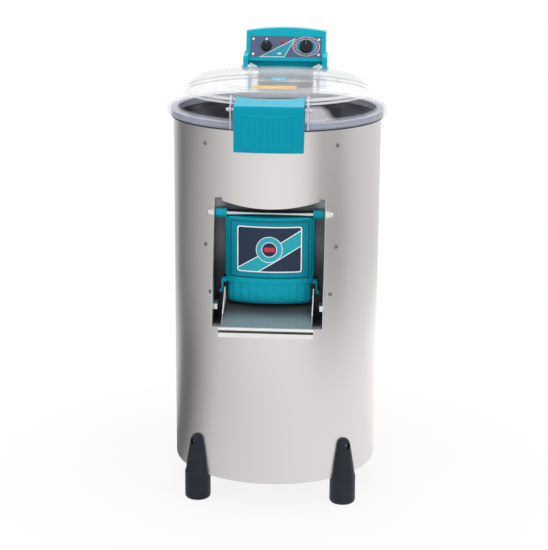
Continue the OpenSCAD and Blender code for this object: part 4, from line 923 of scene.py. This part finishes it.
rib_count = 9
rib_pitch = 16.6
grip_r = 207.4
for k in range(rib_count):
    turn = math.asin((k - (rib_count - 1) / 2) * rib_pitch / grip_r)
    rib = bmesh.new()
    loft(rib, [
        [(6.6 * share * math.cos(a), -grip_r - 1.9 * share * math.sin(a), z)
         for a in spread(0, math.pi, 9)]
        for z, share in ((438.6, 0.45), (439.2, 0.75), (440.6, 1), (474.6, 1))
    ])
    join(bm, rib, Matrix.Rotation(turn, 4, "Z"))
for side in (-1, 1):
    for r, start, end in ((8.5, 84.5, 106.5), (9.8, 84.4, 88.2)):
        barrel = lathe(bmesh.new(), [
            (0, start), (r - 0.8, start), (r, start + 0.8), (r, end - 0.8), (r - 0.8, end),
            (0, end),
        ], 32)
        join(bm, barrel, shifted(0, rod_y, rod_z) @ sideways(side))
    hook_line = [(84.6, 482), (93.2, 482), (94, 481.2), (94, 460.4)]
    hook_line += [
        (94.5 + 3.5 * math.cos(a), 458 + 3.5 * math.sin(a))
        for a in spread(math.radians(95), math.radians(-150), 10)
    ]
    hook_line += [(91, 459), (91, 475), (90, 476), (84.6, 476)]
    hook = bmesh.new()
    loft(hook, [[(side * x, y, z) for x, z in hook_line] for y in (-183, -199)])
    join(bm, hook, Matrix())
put("discharge_door_moulded", bm, "door", "teal", door_teal, "discharge_door", smooth=32)

# The label is a printed sheet: navy with a pale rounded border, a plain ring and a red spot.
label_print, place = finish("label_print", rgb(36, 50, 72), 0.32, Specular_IOR_Level=0.25)
x, _, z = place.xyz()
z = z - 0.5435
inner = inside_rounded(x, z, 0.0611, 0.0436, 0.0035)
border = inside_rounded(x, z, 0.0634, 0.0459, 0.005) - inner
slope = z - x * 0.62
stripe, stripe_edge = [
    (slope + low).rise(-0.0003, 0.0003) * (1 - (slope + high).rise(-0.0003, 0.0003)) * inner
    for low, high in ((0.030, 0.001), (0.032, -0.001))
]
ring = inside_oval(x, z, 0.0248, 0.0248) - inside_oval(x, z, 0.0150, 0.0150)
shown = place.noise(7.0).mix(rgb(28, 42, 62), rgb(40, 56, 78))
for mask, colour in (
    (border | stripe_edge, rgb(242, 247, 250)),
    (stripe, rgb(34, 168, 180)),
    (inside_oval(x, z, 0.0260, 0.0260), rgb(242, 247, 250)),
    (ring, rgb(50, 168, 188)),
    (inside_oval(x, z, 0.0138, 0.0138), rgb(30, 44, 66)),
    (inside_rounded(x, z, 0.0105, 0.0042, 0.0012), rgb(206, 56, 62)),
):
    shown = mask.mix(shown, colour)
feed(label_print, Base_Color=shown, Roughness=place.noise(40.0) * 0.1 + 0.28)
bm = bmesh.new()
bowed_patch(bm, [
    (64, 497, 590, 5, 205.45, 0), (64, 497, 590, 5, 205.9, 0), (63.8, 497.2, 589.8, 4.8, 206, 0),
])
put("door_label_sheet", bm, "door", "navy_label", label_print, "door_label", smooth=40)

# ---------- Lid ----------
# The lid is vacuum-formed from clear sheet: a flat crown, a sloping shoulder, a nearly upright
# wall and a wide flange, which turns down to a skirt round the front. Ears and lugs are glued on.


def clear(name, veil, roughness=0.06):
    """Clear sheet as a thin veil: what it covers shows through as far as the veil is low."""
    paint, place = finish(name, (0.80, 0.82, 0.87, 1), roughness, Specular_IOR_Level=0.5)
    marks = place.noise(9.0, 4.0)
    alpha, colour = veil(place)
    return feed(
        paint,
        Base_Color=colour,
        Alpha=alpha * ((marks - 0.5) * 0.3 + 1),
        Roughness=marks.rise(0.5, 0.75) * 0.06 + roughness,
    )


def lid_veil(place):
    """A white veil on the crown and a blue-grey one on the flange are painted reflections, with
    painted highlight rings at the shoulder, and the wall between is nearly unseen.
    """
    x, y, _ = place.xyz()
    out = reach(x, y)
    crown = (1 - out.rise(0.170, 0.186)) * 0.26
    outside = out.rise(0.199, 0.203)
    crease_highlight = (1 - abs(out - 0.1835).rise(0.0008, 0.0026)) * 0.75
    ridge = (1 - abs(out - 0.1725).rise(0.0010, 0.0035)) * 0.25
    lip = out.rise(0.2195, 0.2212) * 0.42
    veil = crown | outside * 0.30 | crease_highlight | ridge | lip
    alpha = veil * (abs(upward(place)) * 0.5 + 0.5) + 0.012
    return alpha, outside.mix((0.97, 0.985, 1.0, 1), (0.66, 0.71, 0.84, 1))


def ice_veil(place):
    """Thicker clear plastic is blue and hazy, and its whiter patches are painted highlights."""
    smears = place.noise(40.0, 3.0)
    return smears * 0.2 + 0.42, smears.mix((0.50, 0.64, 0.86, 1), (0.90, 0.95, 1.0, 1))


def curve(start, control, end, steps=8):
    """Points of a curve with one control point, without its first."""
    return [
        tuple((1 - t) ** 2 * a + 2 * t * (1 - t) * c + t * t * b
              for a, c, b in zip(start, control, end))
        for t in spread(0, 1, steps)[1:]
    ]


lid_low = 791
skirt_low_z = 783
flange_r = 221.6
skirt_half_turn = math.pi - math.acos(100 / flange_r)


def lid_line(angle):
    """The closed section of the lid, with the skirt where it stands in front of the hinge."""
    off_front = abs((angle + math.pi) % (2 * math.pi) - math.pi)
    skirt = min(1, max(0, (skirt_half_turn - off_front) * 40))
    foot = lid_low + 0.1 - skirt * (lid_low + 0.1 - skirt_low_z)
    return [
        (0, 844), (60, 844), (118, 844), (121, 844.2),
        *curve((121, 844.2), (136, 851), (151, 851)), (168, 851),
        *curve((168, 851), (174, 849), (177, 843), 5), (184, 831),
        *curve((184, 831), (186.5, 827), (190, 824), 5),
        *curve((190, 824), (197, 817), (199.2, 799), 6),
        *curve((199.2, 799), (199.5, 795.2), (204, 795), 4), (212, 795), (219.6, 795),
        *curve((219.6, 795), (flange_r, 795), (flange_r, 792.8), 4),
        (flange_r, (792.8 + foot) / 2), (flange_r, foot + 0.8), (221, foot),
        (218.2, foot), (217.6, foot + 0.4), (217.6, 791.3), (217.2, 791), (206, 791),
        *curve((206, 791), (196, 791), (195.2, 799), 5),
        *curve((195.2, 799), (193, 815), (187, 821), 6),
        *curve((187, 821), (183, 824), (180.5, 829), 4), (173.8, 841),
        *curve((173.8, 841), (171.5, 847), (166, 847), 4), (151, 847),
        *curve((151, 847), (136, 847), (121, 840.2)), (60, 840), (0, 840),
    ]


bm = lathe(bmesh.new(), lid_line, 192, closed=True)
put("lid_dome_formed", bm, "lid", "clear_sheet", clear("clear_sheet", lid_veil), "lid_dome",
    smooth=28)
ice_plastic = clear("ice_plastic", ice_veil, 0.12)
soften("latch_ears", "moulded", 0.5, "lid", "clear_sheet", ice_plastic)
soften("hinge_lugs", "moulded", 0.8, "lid", "clear_sheet", ice_plastic)

# The latch turns on a plated pin with a round cap on each end.
pin_y = -220
pin_z = 820
bm = lathe(bmesh.new(), [(0, -77), (3, -77), (3, 77), (0, 77)], 20)
bm.transform(shifted(0, pin_y, pin_z) @ sideways())
for side in (-1, 1):
    cap = acorn_nut(7.8, 3.4, 3.5, 8.6)
    join(bm, cap, shifted(side * 75.1, pin_y, pin_z) @ sideways(side))
put("latch_pin_turned", bm, "lid", "hardware", ground_steel, "latch_pin", smooth=30)


def thin_slab(outline, low, high, edge=0.12):
    """A flat closed slab of an outline, with its upper edge softened."""
    bm = bmesh.new()
    middle = sum((Vector(p) for p in outline), Vector((0, 0))) / len(outline)
    loft(bm, [
        [(*(Vector(p) + (middle - Vector(p)).normalized() * inset), z) for p in outline]
        for z, inset in ((low, 0), (high - edge, 0), (high, edge))
    ])
    return bm


def label_ink(name, middle_y, roughness, border_of, plain, shades, border):
    """The print of a blank label with a thin border."""
    paint, place = finish(name, plain, roughness + 0.05)
    x, y, _ = place.xyz()
    ink = place.noise(20.0).mix(*shades)
    return feed(paint, Base_Color=border_of(x, y - middle_y).mix(ink, border),
                Roughness=place.noise(60.0) * 0.15 + roughness)


# Two blank labels lie on the crown: an amber one with a thin border, and a round teal one.
amber_print = label_ink(
    "amber_print", -0.091, 0.3,
    lambda x, y: inside_rounded(x, y, 0.0405, 0.0195, 0.003)
    - inside_rounded(x, y, 0.0395, 0.0185, 0.002),
    rgb(246, 193, 92), (rgb(240, 186, 84), rgb(250, 202, 104)), rgb(206, 136, 52),
)
teal_print = label_ink(
    "teal_print", 0.026, 0.25,
    lambda x, y: inside_oval(x, y, 0.0205, 0.0205) - inside_oval(x, y, 0.0175, 0.0175),
    rgb(116, 200, 226), (rgb(120, 202, 228), rgb(140, 214, 236)), rgb(24, 116, 148),
)
label_low, label_high = 844.05, 844.4
put("lid_sticker_sheet", thin_slab(framed_outline(43, -113, -69, 3), label_low, label_high),
    "lid", "amber_label", amber_print, "lid_sticker")
badge_line = [(21 * math.cos(a), 26 + 21 * math.sin(a)) for a in whole_turn(64)]
put("lid_badge_sheet", thin_slab(badge_line, label_low, label_high), "lid", "teal_label",
    teal_print, "lid_badge")

# ---------- Latch ----------
# The latch handle is a hollow teal moulding with a sloping top and a bowed, ribbed front. Inside
# it a sprung steel hook catches the folded keeper that is welded to the drum.


def moulded(name, colour, lit=None, roughness=0.34):
    """A satin moulding with a slight flow texture."""
    return textured(
        name, colour, roughness, (18.0, 3.0), (0.94, 1.07), 0.12, relief=(1500.0, 1.0),
        depth=0.000012, lit=lit, Specular_IOR_Level=0.12,
    )


# Painted light: its upward faces are painted lighter, as lit from above.
latch_teal = moulded("latch_teal", rgb(0, 146, 170), lit=rgb(88, 182, 204))
handle_half_w = 67
fold_y, fold_z = -236, 828
foot_y, foot_z = -245, 741
top_slope = math.tan(math.radians(18))
bow_r = 377.1
rear_r = 205
handle_wall = 3


def handle_front(x, z):
    """The front's Y at a place: a leaning face, bowed across the handle low down."""
    lean = foot_y + (min(z, fold_z) - foot_z) * (fold_y - foot_y) / (fold_z - foot_z)
    return max(lean, foot_y + bow_r - math.sqrt(bow_r**2 - x * x))


def handle_section(x, inset):
    """The closed outline of the handle across one place, from the foot up the front."""
    points = []
    low = foot_z - (8 if inset else 0)
    for z in [low, low + 0.5, low + 1.4] + spread(foot_z + 3, fold_z - 4, 12):
        soft = 1.2 if z == low else 0.4 if z == low + 0.5 else 0
        points.append((handle_front(x, z) + inset + soft, z))
    front_top = handle_front(x, fold_z) + inset
    slope_z = fold_z - inset * 1.25
    points += [(front_top + 0.15, slope_z - 2.4), (front_top + 0.9, slope_z - 0.8),
               (front_top + 2.2, slope_z + (2.2 + front_top - inset - fold_y) * top_slope)]
    rear = (40 if inset else 0) - math.sqrt(rear_r**2 - x * x)
    for share, drop in ((0.3, 0), (0.6, 0), (0.9, 0), (0.97, 0.15), (1.0, 0.9)):
        y = front_top + 2.2 + (rear - front_top - 2.2) * share
        points.append((y, slope_z + (y - inset - fold_y) * top_slope - drop))
    if inset:
        return points + [(rear, foot_z), (rear, low)]
    return points + [(min(y, rear), z) for y, z in (
        (-195.8, 815.7), (-199.8, 805.9), (-207.7, 798.7), (-215.3, 795.9), (-218, 765),
        (-239, foot_z),
    )]


def handle_block(name, half_w, inset):
    stations = [-half_w, -half_w + 0.5, -half_w + 1.8] + spread(-half_w + 5, half_w - 5, 26)
    stations += [half_w - 1.8, half_w - 0.5, half_w]
    middle = Vector((-222, 790))
    rings = []
    for x in stations:
        pull = 0 if inset else {half_w: 1.5, half_w - 0.5: 0.45}.get(abs(x), 0)
        line = [Vector(p) for p in handle_section(x, inset)]
        rings.append([(x, *(p + (middle - p).normalized() * pull)) for p in line])
    bm = bmesh.new()
    loft(bm, rings)
    return shaped(name, bm)


shell = handle_block("handle_shell", handle_half_w, 0)
hollow = handle_block("handle_hollow", handle_half_w - handle_wall, handle_wall)
carve(shell, hollow)
rib = bmesh.new()
rib_low, rib_high = 745, 807
loft(rib, [
    [(4.6 * share * math.cos(a), 0.4 - 1.2 * share * math.sin(a), z)
     for a in spread(0, math.pi, 8)]
    for z, share in ((rib_low, 0.2), (rib_low + 0.8, 0.8), (rib_low + 2.4, 1),
                     (rib_high - 2.4, 1), (rib_high - 0.8, 0.8), (rib_high, 0.2))
])
for level in (765, 787):
    bmesh.ops.bisect_plane(rib, geom=rib.verts[:] + rib.edges[:] + rib.faces[:],
                           plane_co=(0, 0, level * mm), plane_no=(0, 0, 1))
rib_step = 11.8
rib_count = 9
ribs = repeated(
    "handle_ribs", rib,
    [shifted((k - rib_count // 2) * rib_step, 0, 0) for k in range(rib_count)], latch_teal,
)
for vert in ribs.data.vertices:
    x, y, z = vert.co / mm
    fading = 1 - 0.85 * min(1, abs(x) / 60) ** 2
    vert.co.y = (handle_front(x, z) + y * fading) * mm
bm = bmesh.new()
ledge_half_w = 57
ledge_half_h = 3.4
ledge_rings = []
for x in spread(-ledge_half_w, ledge_half_w, 38):
    proud = 1.2 * max(0.06, 1 - (abs(x) / ledge_half_w) ** 6)
    middle_z = 811 - 3 * (1 - (x / ledge_half_w) ** 2)
    arc = [(middle_z + ledge_half_h * math.cos(a), math.sin(a)) for a in spread(0, math.pi, 6)]
    ledge_rings.append([(x, handle_front(x, z) + 0.5 - proud * out, z) for z, out in arc])
loft(bm, ledge_rings)
bm.from_mesh(shell.data)
bm.from_mesh(ribs.data)
removed(hollow, ribs, shell)
for side in (-1, 1):
    boss = lathe(bmesh.new(), [(3.2, 53), (6.4, 53), (7, 53.6), (7, 66.4), (6.4, 67), (3.2, 67)],
                 28, closed=True)
    join(bm, boss, shifted(0, pin_y, pin_z) @ sideways(side))
put("latch_handle_moulded", bm, "latch", "teal", latch_teal, "latch_handle", smooth=30)
soften("latch_keeper", "folded", 0.3, "machine", "stainless", sheet_steel)

# ---------- Control box ----------
# A teal moulded housing stands behind the lid between its hinge wings, with a rounded hood and a
# rear cover. Its sloping front carries a printed panel with a switch, a timer and a lamp.

# Painted light: its upward faces are painted lighter, as lit from above.
box_teal = moulded("box_teal", rgb(10, 168, 188), lit=rgb(70, 196, 214))
soften("control_housing", "moulded", 0.9, "machine", "box_teal", box_teal, smooth=40)
soften("control_cover", "moulded", 0.7, "machine", "box_teal", box_teal, smooth=40)

panel_middle = Vector((0, 0.25502, 0.8815))
panel_up = Vector((0, 0.2924, 0.9563))
panel_out = Vector((0, -0.9563, 0.2924))
on_panel = Matrix((Vector((1, 0, 0)), panel_up, panel_out)).transposed().to_4x4()
on_panel.translation = panel_middle - panel_out * 2.5 * mm


def along(place, way):
    """How far a place lies from the panel's middle in one way, in mm."""
    _, y, z = place.xyz()
    return ((y - panel_middle.y) * way.y + (z - panel_middle.z) * way.z) * 1000


# The panel's print: a teal wedge that rises from the lower left to a dial round the timer.
panel_print, place = finish("panel_print", rgb(90, 99, 133), 0.36)
x = place.xyz()[0] * 1000
up = along(place, panel_up)
switch_x, timer_x, knobs_up = -42, 44, 1.5
dial_x, dial_up = x - timer_x, up - knobs_up


def under_line(start, end, soft=0.35):
    """A mask of what lies below or right of a line on the panel."""
    (x0, up0), (x1, up1) = start, end
    length = math.hypot(x1 - x0, up1 - up0)
    off = (x - x0) * ((up1 - up0) / length) - (up - up0) * ((x1 - x0) / length)
    return off.rise(-soft, soft)


def oval(half_w, half_h):
    return inside_oval(dial_x, dial_up, half_w, half_h, 0.012)


def dashes(angle, pairs):
    return abs((angle * pairs / math.pi).math("FRACT") - 0.5).rise(0.10, 0.14)


wedge_outer = under_line((-57, -22), (14, 16)) * (1 - under_line((-3, -23), (12, 4)))
wedge_inner = under_line((-54.2, -22), (14, 14.4)) * (1 - under_line((-4.4, -23), (10.6, 4)))
angle = dial_up.math("ARCTAN2", dial_x)
drawn = place.noise(30.0).mix(rgb(74, 88, 118), rgb(88, 102, 132))
for mask, colour in (
    (wedge_outer, rgb(226, 234, 240)),
    (wedge_inner * up.rise(-21.3, -20.7),
     place.noise(30.0).mix(rgb(26, 142, 168), rgb(38, 156, 182))),
    (oval(29.4, 21.2), rgb(232, 236, 240)),
    (oval(28.4, 20.3), rgb(72, 92, 122)),
    ((oval(24.4, 17.4) - oval(22.9, 16.3)) * (1 - dashes(angle, 12)), rgb(220, 224, 228)),
    ((oval(27.0, 19.3) - oval(25.3, 18.0)) * dashes(angle, 3), rgb(206, 84, 112)),
    (oval(22.3, 15.8), rgb(226, 232, 236)),
    (oval(21.7, 15.3), rgb(18, 140, 164)),
    (inside_oval(x - switch_x, up - 17.0, 2.3, 2.3, 0.07)
     | inside_oval(x + 14, up + 14.5, 4.6, 1.9, 0.07), rgb(236, 240, 242)),
):
    drawn = mask.mix(drawn, colour)
feed(panel_print, Base_Color=drawn, Roughness=place.noise(90.0) * 0.12 + 0.3)
bm = thin_slab(framed_outline(77, -22.5, 22.5, 3.5), 0.1, 2, 0.4)
put("control_panel_printed", turned(bm, on_panel), "machine", "panel_grey", panel_print,
    "control_panel")

# Four white domed screws hold the panel.
white_plastic = moulded("white_plastic", (0.88, 0.88, 0.87, 1), roughness=0.32)
panel_screws = repeated(
    "panel_screw_copies", domed_screw(3, 1.6, 1, 1.2, 4),
    [on_panel @ shifted(sx * 71, sy * 16.5, 2) for sx in (-1, 1) for sy in (-1, 1)],
    white_plastic,
)
dress(panel_screws, "machine", "white_plastic", white_plastic, "panel_screws", smooth=40)

# The lamp is a red lens in a short sleeve.
red_lens, place = finish("red_lens", (0.55, 0.02, 0.03, 1), 0.12, Coat_Weight=0.6)
facets = place.noise(700.0, 1.0)
feed(red_lens, Base_Color=facets.mix((0.42, 0.012, 0.02, 1), (0.72, 0.04, 0.05, 1)),
     Normal=bumped(facets, 0.00005))
lens_dome = [
    (3 * math.cos(a), 3.6 + 2.9 * math.sin(a)) for a in spread(0, math.pi / 2, 8)[1:-1]
]
bm = lathe(bmesh.new(), [(0, -1), (3.9, -1), (4, 2.9), (3.7, 3.5), (3, 3.7), *lens_dome, (0, 6.5)],
           32)
put("indicator_lamp_lens", turned(bm, on_panel @ shifted(-7, 11.5, 0)), "machine", "red_lens",
    red_lens, "indicator_lamp", smooth=40)


# Both knobs are black mouldings: a skirt, a coned body and a proud ridge with a white pointer.
def knob_black(name, knob_x):
    """Black plastic with a white line along the upper half of the ridge."""
    paint, place = finish(name, (0.010, 0.011, 0.013, 1), 0.3, Specular_IOR_Level=0.3)
    gloss = place.noise(300.0)
    plain = gloss.mix((0.007, 0.008, 0.010, 1), (0.014, 0.016, 0.018, 1))
    across = abs(place.xyz()[0] * 1000 - knob_x)
    high = along(place, panel_up) - knobs_up
    out = along(place, panel_out) + 2.5
    line = (1 - across.rise(0.6, 0.8)) * high.rise(2.8, 3.1) * out.rise(13.7, 13.9)
    return feed(paint, Base_Color=line.mix(plain, (0.22, 0.22, 0.23, 1)),
                Roughness=gloss * 0.1 + 0.24, Normal=bumped(gloss, 0.00002))


for knob, knob_x, r in (("switch_knob", switch_x, 11.5), ("timer_knob", timer_x, 14.5)):
    bm = lathe(bmesh.new(), [
        (0, -5), (3, -5), (3, 2.5), (r - 0.5, 2.5), (r, 3.0), (r, 4.4), (r - 0.6, 5),
        (r - 1.1, 5.1), (r - 1.2, 6), (r - 2.3, 10.6), (r - 3.1, 11.4), (0, 11.5),
    ], 48)
    ridge = bmesh.new()
    loft(ridge, [
        [(x, y, out) for x, y in framed_outline(half_w, -half_l, half_l, half_w * 0.9)]
        for half_w, half_l, out in (
            (2.6, r - 1.3, 5.05), (2.3, r - 1.7, 9), (2.1, r - 2.2, 12.6), (1.8, r - 2.8, 13.7),
            (1.2, r - 3.4, 14),
        )
    ])
    join(bm, ridge, Matrix())
    put(knob + "_moulded", turned(bm, on_panel @ shifted(knob_x, knobs_up, 0)), knob,
        "black_plastic", knob_black(knob + "_black", knob_x), knob, smooth=30)

# Each hinge bolt has a hexagon head outside its wing and a bright acorn nut inside the lug.
hinge_y, hinge_z = 228, 840
bm = bmesh.new()
for side in (-1, 1):
    one = lathe(bmesh.new(), [(0, 64), (4, 64), (4, 91), (0, 91)], 24)
    lathe(one, [(4.1, 76.3), (7, 76.3), (7, 80), (4.1, 80)], 32, closed=True)
    hexagon(one, 11, 90, 94, 0.8)
    join(one, acorn_nut(10.4, 4.4, 4.8, 11), shifted(0, 0, 69.7) @ Matrix.Rotation(math.pi, 4, "X"))
    join(bm, one, shifted(0, hinge_y, hinge_z) @ sideways(side))
put("hinge_bolts_turned", bm, "machine", "hardware", chrome, "hinge_bolts", smooth=30)

# ---------- Back ----------
# A folded stainless duct leads the wiring from the drum up to the control box. Beside it sit a
# brass water inlet with a pipe thread, a black cable gland and the brass earth terminal.

soften("rear_duct", "folded", 0.6, "machine", "stainless", sheet_steel)
yellow = (0.72, 0.52, 0.24, 1)
brass, place = finish("plain_brass", yellow, 0.3, Metallic=1.0)
turning = place.stretched((300, 60, 300)).noise(1.0, 3.0)
tarnish = place.noise(30.0, 3.0)
feed(brass, Base_Color=tarnish.mix(dimmed(yellow, 0.8), dimmed(yellow, 1.1)),
     Roughness=(turning - 0.5) * 0.2 + 0.3, Normal=bumped(turning, 0.00002))
wear(brass, "water_inlet", "earth_terminal")
wear(sprayed("black_plastic", (0.018, 0.018, 0.02, 1)), "cable_gland", "wiring_loom")
